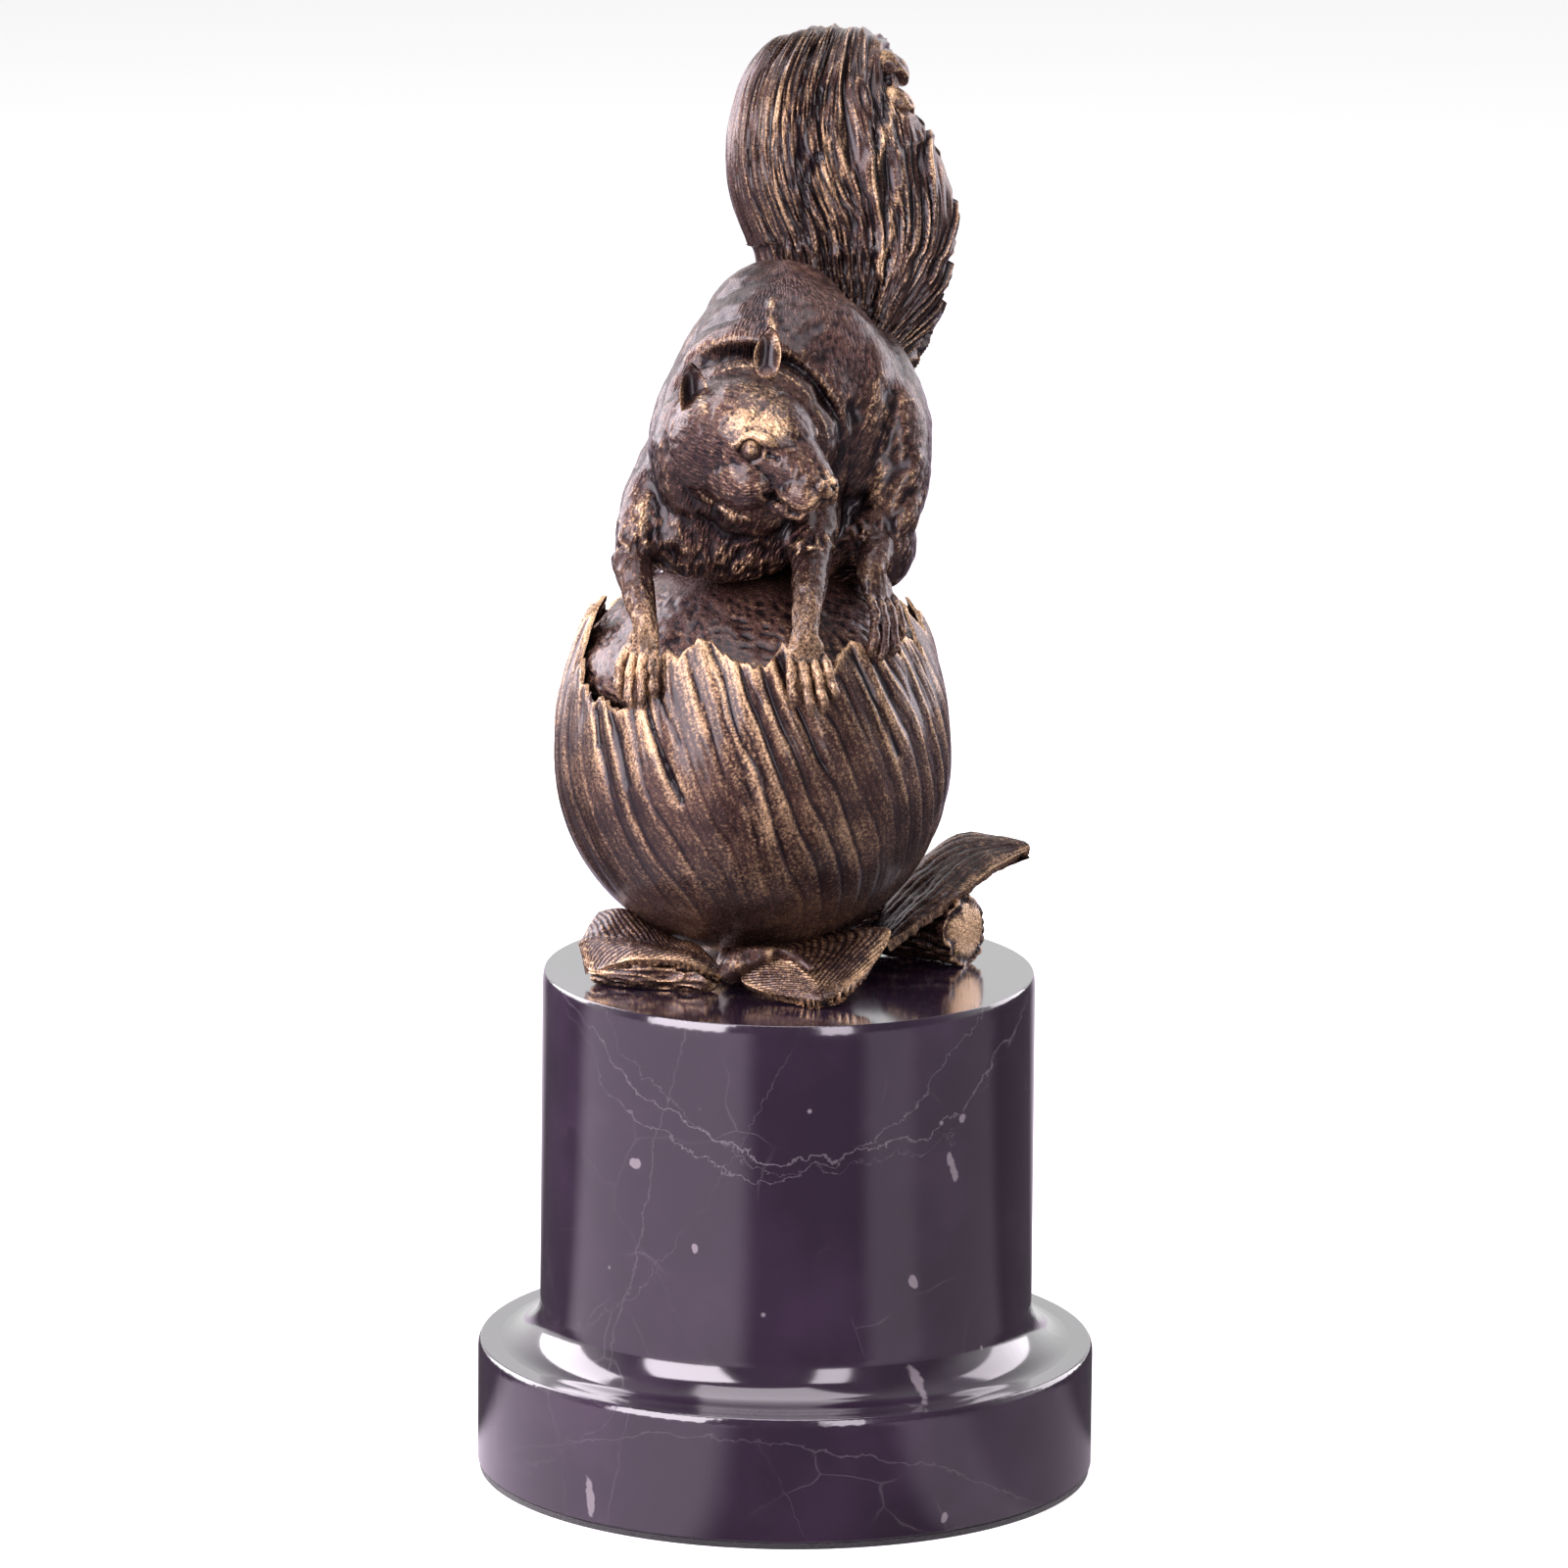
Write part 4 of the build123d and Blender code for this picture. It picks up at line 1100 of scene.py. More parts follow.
# Strokes pressed into the torso: pixels of the photograph, width and lift in millimetres
TORSO_STROKES = [
    ([(640, 470), (655, 440), (668, 400), (690, 360), (712, 330)], 1.6, -0.45),
    ([(662, 470), (668, 505), (668, 545)], 1.3, -0.35),
    ([(672, 455), (682, 500), (690, 545)], 1.2, 0.35),
    ([(685, 452), (696, 492), (712, 528), (738, 548)], 1.1, -0.45),
    ([(694, 445), (706, 484), (722, 512), (748, 530)], 1.0, 0.40),
    ([(702, 440), (714, 476), (732, 504), (760, 522)], 0.9, -0.35),
    ([(690, 372), (700, 352), (722, 332), (750, 322)], 1.4, -0.35),
    ([(786, 305), (786, 325), (788, 345)], 0.9, 0.35),
    ([(876, 420), (872, 470), (868, 520), (862, 590)], 2.2, -1.3),
    ([(900, 360), (894, 400), (892, 450), (886, 500), (878, 545)], 2.6, 0.6),
    ([(915, 400), (910, 450), (905, 500), (900, 540)], 1.5, -0.35),
    ([(930, 500), (915, 528), (900, 560)], 1.4, -0.55),
    ([(938, 470), (930, 490)], 1.6, 0.5),
    ([(746, 282), (780, 277), (820, 284), (860, 305), (890, 335)], 1.5, 0.05),
]
TORSO_WORN = [
    ([(900, 400), (905, 450), (900, 500)], 3.2, 0.45),
    ([(786, 300), (788, 345)], 1.0, 0.5),
    ([(655, 500), (650, 540)], 2.5, 0.4),
    ([(830, 566), (835, 580)], 1.8, 1.0),
    ([(732, 572), (760, 580)], 2.0, 0.35),
    ([(780, 283)], 2.2, 0.35),
]


class FIGURINE_OT_head(bpy.types.Operator):
    """Model the head with its ears, eyes, nose and mouth"""

    bl_idname = "figurine.head"
    bl_label = "Head"

    def execute(self, context):
        grid = context.scene.figurine_sizes.head_grid * MM
        cuts = [(SKULL + np.array(place), np.array(facing)) for place, facing in HEAD_CUTS]
        clay = trim_all(body_clay(), [(place + facing * HEAD_CUT_SPARE, facing) for place, facing in cuts])
        piece = fuse(clay + head_clay(), grid, 12)
        points = points_of(piece)
        behind = ease(-(points - SKULL) @ HEAD_AHEAD, -2.0, 5.0)[:, None]
        set_points(piece, points + (smoothed(piece, points, 70) - points) * behind)
        gap = head_gap(points_of(piece))
        sink = 1.4 * ease(gap, HEAD_SEAM, HEAD_SEAM + 2.0) + 3.0 * ease(gap, HEAD_SEAM + 1.0, HEAD_SEAM + 5.0)
        lift_along(piece, -sink)
        for place, facing in cuts:
            trim(piece, place, facing)
        press_all(piece, HEAD_STROKES, (SKULL, HEAD_SIDE))
        points = points_of(piece)
        eyes = []
        lids = np.zeros(len(points))
        for side in (1, -1):
            spot = head_place((EYE[0], side * EYE[1], EYE[2]))
            eye = ball(spot, (EYE_RADIUS, EYE_RADIUS, EYE_RADIUS), segments=32)
            add_values(eye, "worn_and_glint", np.full(len(eye.data.vertices), EYE_DULLNESS))
            eyes.append(eye)
            off = np.linalg.norm(points - spot, axis=1)
            for reach, width, lift in EYE_RINGS:
                lids += lift * np.exp(-(((off - reach) / width) ** 2))
        lift_along(piece, lids)
        ears = [ear(*values) for values in EARS]
        points = points_of(piece)
        lift_along(piece, lumps(points, 1.2, 47) * 0.08 + crests(lumps(points, 0.9, 48)) * 0.05)
        chase_fur(piece, head_place((20.5, 0, -2.0)), HEAD_AHEAD, 10.0, 0.25)
        piece = join([piece] + eyes + ears)
        measure_relief(piece, 10, 0.12)
        rub_all(piece, HEAD_WORN_AND_GLINT)
        metal = bronze("bronze_head", fur=0.5, gilding=0.04)
        finish_piece(piece, "squirrel_head", metal, "head")
        return {"FINISHED"}


HEAD_TURN = -40.0
HEAD_DIP = -15.0
SKULL = PERCH + np.array((-1.2, -21.0, 25.2))


def head_axes():
    """Give the head's directions: ahead along the nose, to the near side, and up."""
    turn, dip = math.radians(HEAD_TURN), math.radians(HEAD_DIP)
    ahead = np.array((math.cos(turn) * math.cos(dip), math.sin(turn) * math.cos(dip), math.sin(dip)))
    side = unit(np.cross(ahead, (0, 0, 1)))
    return ahead, side, np.cross(side, ahead)


HEAD_AHEAD, HEAD_SIDE, HEAD_UP = head_axes()


def head_place(offset):
    """Turn a distance ahead, to the near side and up from the skull's middle into a place."""
    return SKULL + HEAD_AHEAD * offset[0] + HEAD_SIDE * offset[1] + HEAD_UP * offset[2]


def head_rows(rows):
    """Turn rows in the head's own directions into rows in the frame."""
    return [(*head_place(row[:3]), row[3], row[4]) for row in rows]


def head_ball(offset, radii):
    """Add a ball of clay squared to the head."""
    piece = ball((0, 0, 0), radii)
    turned = points_of(piece) @ np.array((HEAD_AHEAD, HEAD_SIDE, HEAD_UP))
    set_points(piece, turned + head_place(offset))
    turn_outward(piece)
    return piece


# Forms of the head: place ahead, to the near side and up, then the radii that way, in millimetres
HEAD_FORMS = [
    ((0, 0, 0), (11.0, 9.6, 10.6)),
    ((-4.5, 0, -1.5), (9.5, 9.8, 10.0)),
    ((4.5, 0, 2.6), (8.5, 7.2, 7.0)),
    ((3.5, 4.8, -5.2), (7.5, 4.3, 6.0)),
    ((3.5, -4.8, -5.2), (7.5, 4.3, 6.0)),
    ((14.6, 2.0, -4.1), (4.9, 3.0, 3.6)),
    ((14.6, -2.0, -4.1), (4.9, 3.0, 3.6)),
    ((10.5, 0, -8.2), (5.4, 2.8, 2.5)),
    ((18.8, 0, -1.6), (2.2, 2.5, 2.1)),
    ((6.2, 5.4, 3.6), (3.8, 1.9, 1.7)),
    ((6.2, -5.4, 3.6), (3.8, 1.9, 1.7)),
]
HEAD_SNOUT = [
    (2.0, 0, -0.3, 8.6, 9.0), (6.5, 0, -0.5, 7.4, 8.0), (11.0, 0, -1.3, 5.6, 6.4),
    (15.0, 0, -2.1, 4.2, 4.9), (18.6, 0, -2.6, 3.0, 3.3),
]
# Planes that keep only the torso's clay near the head: place from the skull, and facing
HEAD_CUT_SPARE = 7.0
HEAD_CUTS = [
    ((0, 16.5, 0), (0.0, 1.0, 0.0)),
    ((0, 0, -21), (0.0, 0.0, -1.0)),
    ((26, 0, 0), (1.0, 0.0, 0.0)),
    ((-13, 11, 0), (-0.74, 0.67, 0.0)),
]
# Eye: place ahead, to each side and up from the skull's middle, radius, and wear that keeps it dull
EYE = (6.3, 6.6, 1.1)
EYE_RADIUS = 2.0
EYE_DULLNESS = -0.9
# Rings round each eye: radius, width and lift
EYE_RINGS = [(2.7, 0.5, 0.10), (3.7, 0.8, -0.06), (1.8, 0.6, -0.25)]
# Strokes of the face: pixels of the photograph, width and lift in millimetres, both sides alike
HEAD_STROKES = [
    ([(745, 455), (754, 447), (767, 442), (780, 446), (790, 456)], 0.9, 0.34),
    ([(783, 466), (792, 470)], 0.5, -0.35),
    ([(748, 474), (756, 486), (770, 491), (786, 487)], 0.7, -0.14),
    ([(741, 478), (750, 494), (766, 501), (786, 496)], 0.9, 0.05),
    ([(732, 470), (738, 494), (752, 508), (770, 513)], 0.9, -0.15),
    ([(783, 508), (791, 511), (800, 519), (808, 526), (816, 529), (826, 523), (838, 514)], 0.6, -0.75),
    ([(792, 502), (806, 515), (820, 521), (836, 510)], 0.8, 0.3),
    ([(800, 534), (815, 537)], 0.9, 0.3),
    ([(853, 497), (855, 502)], 0.6, -0.7),
    ([(838, 476), (846, 490), (842, 503)], 0.6, -0.25),
    ([(730, 455), (728, 480), (730, 505)], 1.0, -0.4),
]
# Rubbed places of the head: pixels, radius and strength; one of them is a painted highlight in the eye
HEAD_WORN_AND_GLINT = [
    ([(755, 430), (775, 428), (790, 436)], 3.0, 1.2),
    ([(765, 446), (780, 450)], 1.2, 0.4),
    # Painted highlight: a small bright dot in the middle of the eye
    ([(767, 462)], 0.7, 0.1),
    ([(772, 395), (800, 405)], 2.6, 0.5),
    ([(845, 485), (853, 490)], 1.6, 0.9),
    ([(735, 470), (745, 500), (780, 505)], 2.2, 0.1),
    ([(788, 342), (790, 352)], 1.2, 0.9),
    ([(716, 382), (713, 402), (717, 420)], 0.9, 0.7),
    ([(815, 470), (830, 500)], 2.4, 0.2),
    ([(780, 400), (800, 430)], 3.0, 0.45),
    ([(815, 527), (800, 520)], 1.0, 0.5),
]


def ear(base, tip, facing, width):
    """Model one ear as a cupped, pointed leaf."""
    base, tip, facing = (np.array(value, dtype=float) for value in (base, tip, facing))
    base, tip = head_place(base), head_place(tip)
    rows = []
    for share, wide in ((0.0, 0.55), (0.2, 0.85), (0.45, 1.0), (0.7, 0.82), (0.88, 0.5), (1.0, 0.12)):
        rows.append((*(base + (tip - base) * share), width * wide, 0.75))
    ahead = unit(tip - base)
    facing = HEAD_AHEAD * facing[0] + HEAD_SIDE * facing[1] + HEAD_UP * facing[2]
    facing = unit(facing - ahead * (facing @ ahead))
    side = np.cross(ahead, facing)
    piece, share, angle = swell(rows, across=side, segments=48, rings=48, cap=0.12)
    points = points_of(piece)
    off = (points - base) @ side / width
    toward = (points - base) @ facing
    cup = (off**2) * 1.7 - 0.5
    dent = np.where(toward > 0, -0.9, 0.35) * (1 - off**2) * ease(share, 0.05, 0.3)
    points += facing * (cup * np.sin(np.clip(share, 0, 1) * math.pi) + dent * 0.6)[:, None]
    set_points(piece, points)
    add_values(piece, "worn_and_glint", ease(np.abs(off), 0.4, 0.9) * 0.9)
    return piece


# Ears: base and tip ahead, to the near side and up; the way that the cup faces; half width
EARS = [
    ((-7.6, 5.0, -0.8), (-12.0, 5.0, 9.9), (0.8, 0.6, 0.0), 2.7),
    ((-3.4, -6.0, 8.5), (-6.3, -7.7, 17.1), (0.5, 0.8, 0.0), 2.4),
]


class FIGURINE_OT_tail(bpy.types.Operator):
    """Model the tail as a plume of hair locks"""

    bl_idname = "figurine.tail"
    bl_label = "Tail"

    def execute(self, context):
        locks_across = context.scene.figurine_sizes.tail_locks
        piece, share, angle = swell(moved(TAIL_ROWS, PERCH), segments=400, rings=230, cap=0.05)
        points = points_of(piece)
        normals = normals_of(piece)
        side = np.cos(angle)
        climb = np.clip(share / 0.74, 0, 1)
        wave = lumps(np.stack((side * 3, share * 7, np.sin(angle)), axis=-1), 1.0, 61)
        hair = np.where(side > 0, side / (1 + TAIL_FAN * climb), side) + wave * 0.018
        back = np.where(np.sin(angle) > 0, 9.0, 0.0)
        flow = np.stack((hair * locks_across, share * 6.0, back), axis=-1)
        locks = crests(lumps(flow, 1.0, 62)) - 0.4
        strands = crests(lumps(flow * np.array((2.7, 2.0, 1)), 1.0, 63)) - 0.4
        fine = crests(lumps(flow * np.array((6.5, 3.0, 1)), 1.0, 64)) - 0.4
        rough = locks * 0.55 + strands * 0.42 + fine * 0.2
        rough *= 1 - 0.45 * ease(-side, 0.15, 0.6)
        for place in MAIN_LOCKS:
            line = place * (1 + MAIN_FAN * climb) if place > 0 else place
            rough -= MAIN_LOCK_GROOVE * np.exp(-(((side - line) / 0.07) ** 2))
        rough *= ease(share, 0.02, 0.14) * (1 - 0.5 * ease(-side, 0.7, 1.0))
        part = hair * locks_across * 0.9
        part = part - np.floor(part)
        edge = ease(side, 0.6, 0.97) * ease(share, 0.10, 0.25)
        rough += ((1 - part) * 1.1 - 0.6) * edge
        set_points(piece, points + normals * (rough - 0.35)[:, None])
        press_all(piece, TAIL_STROKES)
        add_vectors(piece, "fur", np.stack((hair * 120, back * 9 + wave, share * 16), axis=-1))
        tips = [swell(moved(rows, PERCH), cap=0.25, segments=40, rings=40)[0] for rows in TAIL_TIPS]
        for tip in tips:
            lift_along(tip, crests(lumps(points_of(tip) * np.array((0.4, 1, 0.4)), 0.8, 65)) * 0.25)
        piece = join([piece] + tips)
        measure_relief(piece, 12, 0.24)
        rub_all(piece, TAIL_WORN)
        metal = bronze("bronze_tail", fur=0.5, gilding=0.12)
        finish_piece(piece, "squirrel_tail", metal, "tail")
        return {"FINISHED"}


# Fan of the hair to the right, and the main locks that the solid also has
TAIL_FAN = 4.0
MAIN_LOCKS = (0.42, 0.12, -0.28, -0.75)
MAIN_FAN = 1.1
MAIN_LOCK_GROOVE = 0.6
# Two curled tips at the top right
TAIL_TIPS = [
    [(15.0, 34.0, 80.5, 2.6, 2.2), (20.5, 34.5, 82.8, 2.6, 2.2), (24.2, 34.6, 81.6, 2.1, 1.9),
     (25.8, 34.6, 79.0, 1.2, 1.2)],
    [(15.5, 31.5, 73.5, 2.4, 2.2), (21.0, 31.8, 76.6, 2.6, 2.2), (25.0, 32.0, 76.0, 2.1, 1.9),
     (26.6, 32.0, 73.2, 1.2, 1.2)],
]
TAIL_ROWS = [
    (14.0, 19.0, 24.0, 8.0, 6.5), (16.2, 25.1, 31.5, 12.0, 8.4), (17.3, 28.6, 39.7, 15.6, 9.5),
    (17.3, 30.2, 47.6, 17.9, 10.0), (16.6, 31.0, 55.0, 19.2, 10.6), (12.7, 32.1, 65.9, 19.2, 11.0),
    (11.5, 34.1, 75.8, 16.2, 9.6), (13.9, 38.3, 82.0, 12.0, 7.2), (17.8, 45.3, 80.4, 8.0, 5.9),
    (19.7, 48.9, 74.4, 3.2, 2.8),
]
TAIL_STROKES = [
    ([(912, 60), (906, 85), (900, 120)], 1.2, -0.6),
    ([(838, 90), (828, 120), (816, 150), (808, 190)], 1.0, -0.5),
    ([(835, 160), (822, 185), (818, 215), (822, 245)], 1.0, -0.6),
]
TAIL_WORN = [
    ([(862, 110), (866, 150), (858, 190)], 2.0, 0.5),
    ([(910, 90), (900, 140), (890, 190)], 1.5, 0.6),
    ([(798, 90), (788, 150), (792, 220)], 3.0, 0.35),
    ([(845, 140), (838, 200), (850, 250)], 1.5, 0.5),
    ([(925, 170), (915, 220), (900, 270)], 1.5, 0.45),
]


class FIGURINE_OT_limbs(bpy.types.Operator):
    """Model the four lower legs with their paws"""

    bl_idname = "figurine.limbs"
    bl_label = "Lower legs"

    def execute(self, context):
        grid = context.scene.figurine_sizes.paw_grid * MM
        metal = bronze("bronze_paw", fur=0.22, gilding=0.18)
        for name, joint, angle, leg, hand, fingers, lean, glow, lift in LIMBS:
            joint = PERCH + np.array(joint)
            wrist = husk_place(angle, WRIST_RISE + lift, leg * 0.42)
            palm = husk_place(angle, PALM_RISE + lift, 1.4)
            knuckle = husk_place(angle, KNUCKLE_RISE + lift, 0.9)
            middle = joint * 0.5 + wrist * 0.5 + np.array((0, -0.6, 0))
            rows = [
                (*(joint + (joint - middle) * 0.45), leg * 0.56, leg * 0.56),
                (*joint, leg * 0.56, leg * 0.56),
                (*middle, leg * 0.45, leg * 0.45),
                (*wrist, leg * 0.37, leg * 0.36),
                (*palm, hand * 0.40, 1.6),
                (*knuckle, hand * 0.36, 1.0),
            ]
            across = (-math.sin(math.radians(angle)), math.cos(math.radians(angle)), 0)
            clay = [swell(rows, across=across, cap=0.08, segments=32, rings=40)[0]]
            for spread, reach in fingers:
                turn = angle + math.degrees(hand * spread / HUSK_RADIUS)
                low = turn + (turn - angle) * 0.25 + lean * reach
                finger = []
                for share, stand_off, half in FINGER_SHAPE:
                    height = FINGER_RISE + lift - (reach + 3.0) * share
                    place = husk_place(turn + (low - turn) * share, height, stand_off)
                    finger.append((*place, half, half))
                clay.append(swell(finger, across=across, cap=0.12, segments=16, rings=24)[0])
            piece = fuse(clay, grid, 2)
            points = points_of(piece)
            sinews = crests(lumps(points * np.array((1, 1, 0.35)), 1.6, 72)) * 0.16
            lift_along(piece, lumps(points, 1.2, 71) * 0.14 + sinews)
            comb(piece, joint, wrist - joint, 22.0, 2.0)
            measure_relief(piece, 8, 0.14)
            add_values(piece, "worn_and_glint", np.full(len(points), min(glow - 0.5, 0.0)))
            rub(piece, [palm, knuckle], hand * 0.7, glow)
            rub(piece, [joint * 0.3 + wrist * 0.7, wrist], leg * 0.5, glow * 0.6)
            finish_piece(piece, name + "_shape", metal, name)
        return {"FINISHED"}


# Heights over the nut's widest line at which a paw's parts lie
WRIST_RISE, PALM_RISE, FINGER_RISE, KNUCKLE_RISE = 27.5, 24.6, 24.0, 22.0
# Fingers of a paw: place across it as a share of its width, and reach in millimetres
FOUR_FINGERS = ((-0.42, 6.4), (-0.14, 7.9), (0.13, 7.6), (0.40, 5.4))
# A finger: share of its length, distance from the husk and half width
FINGER_SHAPE = [
    (0.0, 1.3, 0.75), (0.22, 1.7, 0.85), (0.40, 1.75, 0.98), (0.56, 1.5, 0.82), (0.74, 1.4, 0.92),
    (0.88, 0.9, 0.72), (1.0, 0.2, 0.4),
]
# Lower legs: node, joint over the kernel, degrees round the nut, widths, fingers, lean, wear and rise
LIMBS = [
    ("foreleg_left", (-21.2, -17.4, 1.6), -128.0, 6.0, 8.4, FOUR_FINGERS, 0.3, 0.75, 0.0),
    ("foreleg_right", (9.9, -19.2, 2.6), -73.0, 6.0, 8.4, FOUR_FINGERS, 0.3, 0.75, 0.0),
    ("hind_leg_left", (-15.2, 13.2, 10.2), 130.0, 8.6, 9.6, FOUR_FINGERS, 0.0, 0.2, 0.0),
    ("hind_leg_right", (22.4, -3.8, 6.0), -34.0, 7.0, 9.2, FOUR_FINGERS, -1.2, 0.2, 8.0),
]


# A leaf's mesh along and across, its thickness and the width of its worn edge
LEAF_STEPS = (110, 90)
LEAF_THICKNESS = 1.8
LEAF_BEVEL = 0.5
# Pieces on the stone end this far over it
STONE_GAP = 0.05


def rest_on_stone(piece):
    """Press a piece flat where it would sink into the stone."""
    points = points_of(piece)
    points[:, 2] = np.maximum(points[:, 2], STONE_TOP + STONE_GAP)
    set_points(piece, points)


def leaf_skin(points, out, over, ribs):
    """Give how far a leaf's veins, midrib and skin stand out at each point."""
    count, slant, depth = ribs
    phase = (out + np.abs(over) * slant) * count
    phase = phase + lumps(points, 4.0, 81) * 0.25
    groove = np.abs(phase - np.round(phase)) * 2
    veins = (ease(groove, 0.05, 0.75) - 0.6) * depth
    midrib = np.exp(-((over / 0.06) ** 2)) * depth * 1.2
    texture = lumps(points, 0.9, 82) * 0.08 + lumps(points, 3.0, 83) * 0.2
    rim_fade = ease(1 - np.abs(over), 0.0, 0.10) * ease(1 - out, 0.0, 0.05)
    return veins * rim_fade + midrib + texture


def leaf(name, node, rows, ribs, under, material):
    """Model one thick leaf from rows of left edge, midrib, right edge and crown."""
    deselect()
    bpy.ops.mesh.primitive_grid_add(x_subdivisions=LEAF_STEPS[0], y_subdivisions=LEAF_STEPS[1], size=2)
    piece = bpy.context.object
    flat = points_of(piece)
    out, over = (flat[:, 0] + 1) / 2, flat[:, 1]
    rows = [(*left, *middle, *right, crown) for left, middle, right, crown in rows]
    rows = np.array(rows) + np.array((*UNDER_NUT, *UNDER_NUT, *UNDER_NUT, 0.0))
    left, middle, right, crown = np.split(along(rows, out), (3, 6, 9), axis=1)
    edge = np.where((over < 0)[:, None], left, right)
    points = middle + (edge - middle) * np.abs(over)[:, None]
    points = points + np.sin(np.abs(over) * math.pi)[:, None] * np.array((0, 0, 1)) * crown
    set_points(piece, points)
    if normals_of(piece)[:, 2].mean() < 0:
        bpy.ops.object.mode_set(mode="EDIT")
        bpy.ops.mesh.select_all(action="SELECT")
        bpy.ops.mesh.flip_normals()
        bpy.ops.object.mode_set(mode="OBJECT")
    set_points(piece, points + normals_of(piece) * leaf_skin(points, out, over, ribs)[:, None])
    apply_modifier(piece, "SOLIDIFY", thickness=LEAF_THICKNESS, offset=-1.0, use_even_offset=False)
    apply_modifier(piece, "BEVEL", width=LEAF_BEVEL, segments=3, angle_limit=math.radians(50))
    for form in under:
        roll = swell(moved(form, UNDER_NUT), across=(0, 1, 0), segments=96, rings=96)[0]
        lift_along(roll, crests(lumps(points_of(roll) * np.array((0.25, 0.6, 1.4)), 1.1, 84)) * 0.3)
        piece = join([piece, roll])
    rest_on_stone(piece)
    measure_relief(piece, 14, 0.20)
    rub_all(piece, LEAF_WORN[node])
    finish_piece(piece, name, material, node)


class FIGURINE_OT_leaves(bpy.types.Operator):
    """Model the three leaves under the nut"""

    bl_idname = "figurine.leaves"
    bl_label = "Leaves"

    def execute(self, context):
        metal = bronze("bronze_leaf", gilding=0.26)
        for name, node, rows, ribs, under in LEAVES:
            leaf(name, node, rows, ribs, under, metal)
        return {"FINISHED"}


# Rubbed edges of the leaves, in pixels of the photograph
LEAF_WORN = {
    "leaf_left": [
        ([(612, 996), (637, 983), (678, 980), (706, 984), (734, 998)], 0.9, 0.8),
        ([(598, 950), (594, 972), (604, 996)], 1.0, 0.5),
    ],
    "leaf_front": [
        ([(760, 1004), (800, 1020), (834, 1026)], 0.9, 0.7),
        ([(849, 1022), (885, 987), (908, 950)], 0.9, 0.8),
        ([(780, 970), (815, 985), (838, 1000)], 1.6, 0.5),
    ],
    "leaf_rear": [([(1049, 861), (1035, 869), (985, 903)], 0.9, 0.6), ([(1000, 845), (1040, 852)], 1.2, 0.3)],
}
# Rolled underside of the left leaf, seen under its lifted edge
LEFT_UNDERSIDE = [
    (-28.0, -11.5, 2.4, 2.4, 2.4), (-20.0, -14.8, 2.9, 2.9, 3.0), (-12.0, -16.0, 2.9, 2.9, 3.0),
    (-6.0, -18.5, 2.2, 2.4, 2.2),
]
# Leaves: rows from base to tip of left edge, midrib, right edge and crown, from the stone under the
# nut, then the number, slant and depth of the ribs, and the rolled forms under the leaf
LEAVES = [
    ("left_leaf_shape", "leaf_left", [
        ((-5.0, -22.5, 3.6), (-5.2, -21.2, 4.6), (-5.5, -19.5, 5.0), 0.3),
        ((-10.5, -22.8, 6.2), (-9.8, -20.0, 7.2), (-9.2, -15.5, 7.8), 0.5),
        ((-15.4, -21.4, 6.6), (-15.0, -18.0, 7.8), (-13.5, -12.5, 8.6), 0.6),
        ((-22.5, -19.0, 5.6), (-20.5, -15.0, 8.6), (-17.5, -9.0, 10.4), 0.8),
        ((-27.5, -15.0, 2.8), (-27.0, -12.0, 8.4), (-22.5, -6.5, 12.2), 0.8),
        ((-29.0, -12.5, 1.6), (-30.4, -9.8, 6.4), (-27.0, -4.5, 11.2), 0.3),
    ], (22, -0.3, 0.15), [LEFT_UNDERSIDE]),
    ("front_leaf_shape", "leaf_front", [
        ((0.0, -22.0, 5.6), (3.0, -20.5, 7.8), (8.0, -17.0, 8.8), 0.2),
        ((-1.5, -23.6, 3.4), (6.5, -21.8, 6.8), (16.0, -13.8, 10.4), 0.5),
        ((2.0, -26.0, 2.2), (9.5, -24.2, 5.0), (24.5, -13.2, 10.4), 0.6),
        ((7.0, -28.8, 1.9), (12.0, -27.2, 3.2), (20.8, -22.0, 5.2), 0.4),
        ((11.8, -31.0, 1.8), (13.0, -30.8, 1.9), (14.6, -29.8, 2.2), 0.0),
    ], (18, 0.45, 0.14), []),
    ("rear_leaf_shape", "leaf_rear", [
        ((24.0, -7.0, 6.5), (22.0, -1.0, 6.0), (20.0, 6.0, 5.0), 0.3),
        ((30.5, -3.0, 10.2), (28.0, 5.0, 11.5), (25.0, 13.0, 12.0), 0.5),
        ((37.7, 3.0, 13.9), (34.5, 10.0, 16.5), (32.0, 17.0, 18.0), 0.6),
        ((43.5, 9.5, 16.8), (40.5, 14.5, 19.0), (38.5, 20.5, 20.6), 0.4),
        ((49.8, 16.5, 18.8), (49.5, 17.5, 19.2), (48.5, 19.0, 19.6), 0.1),
    ], (2, 2.0, 0.12), []),
]


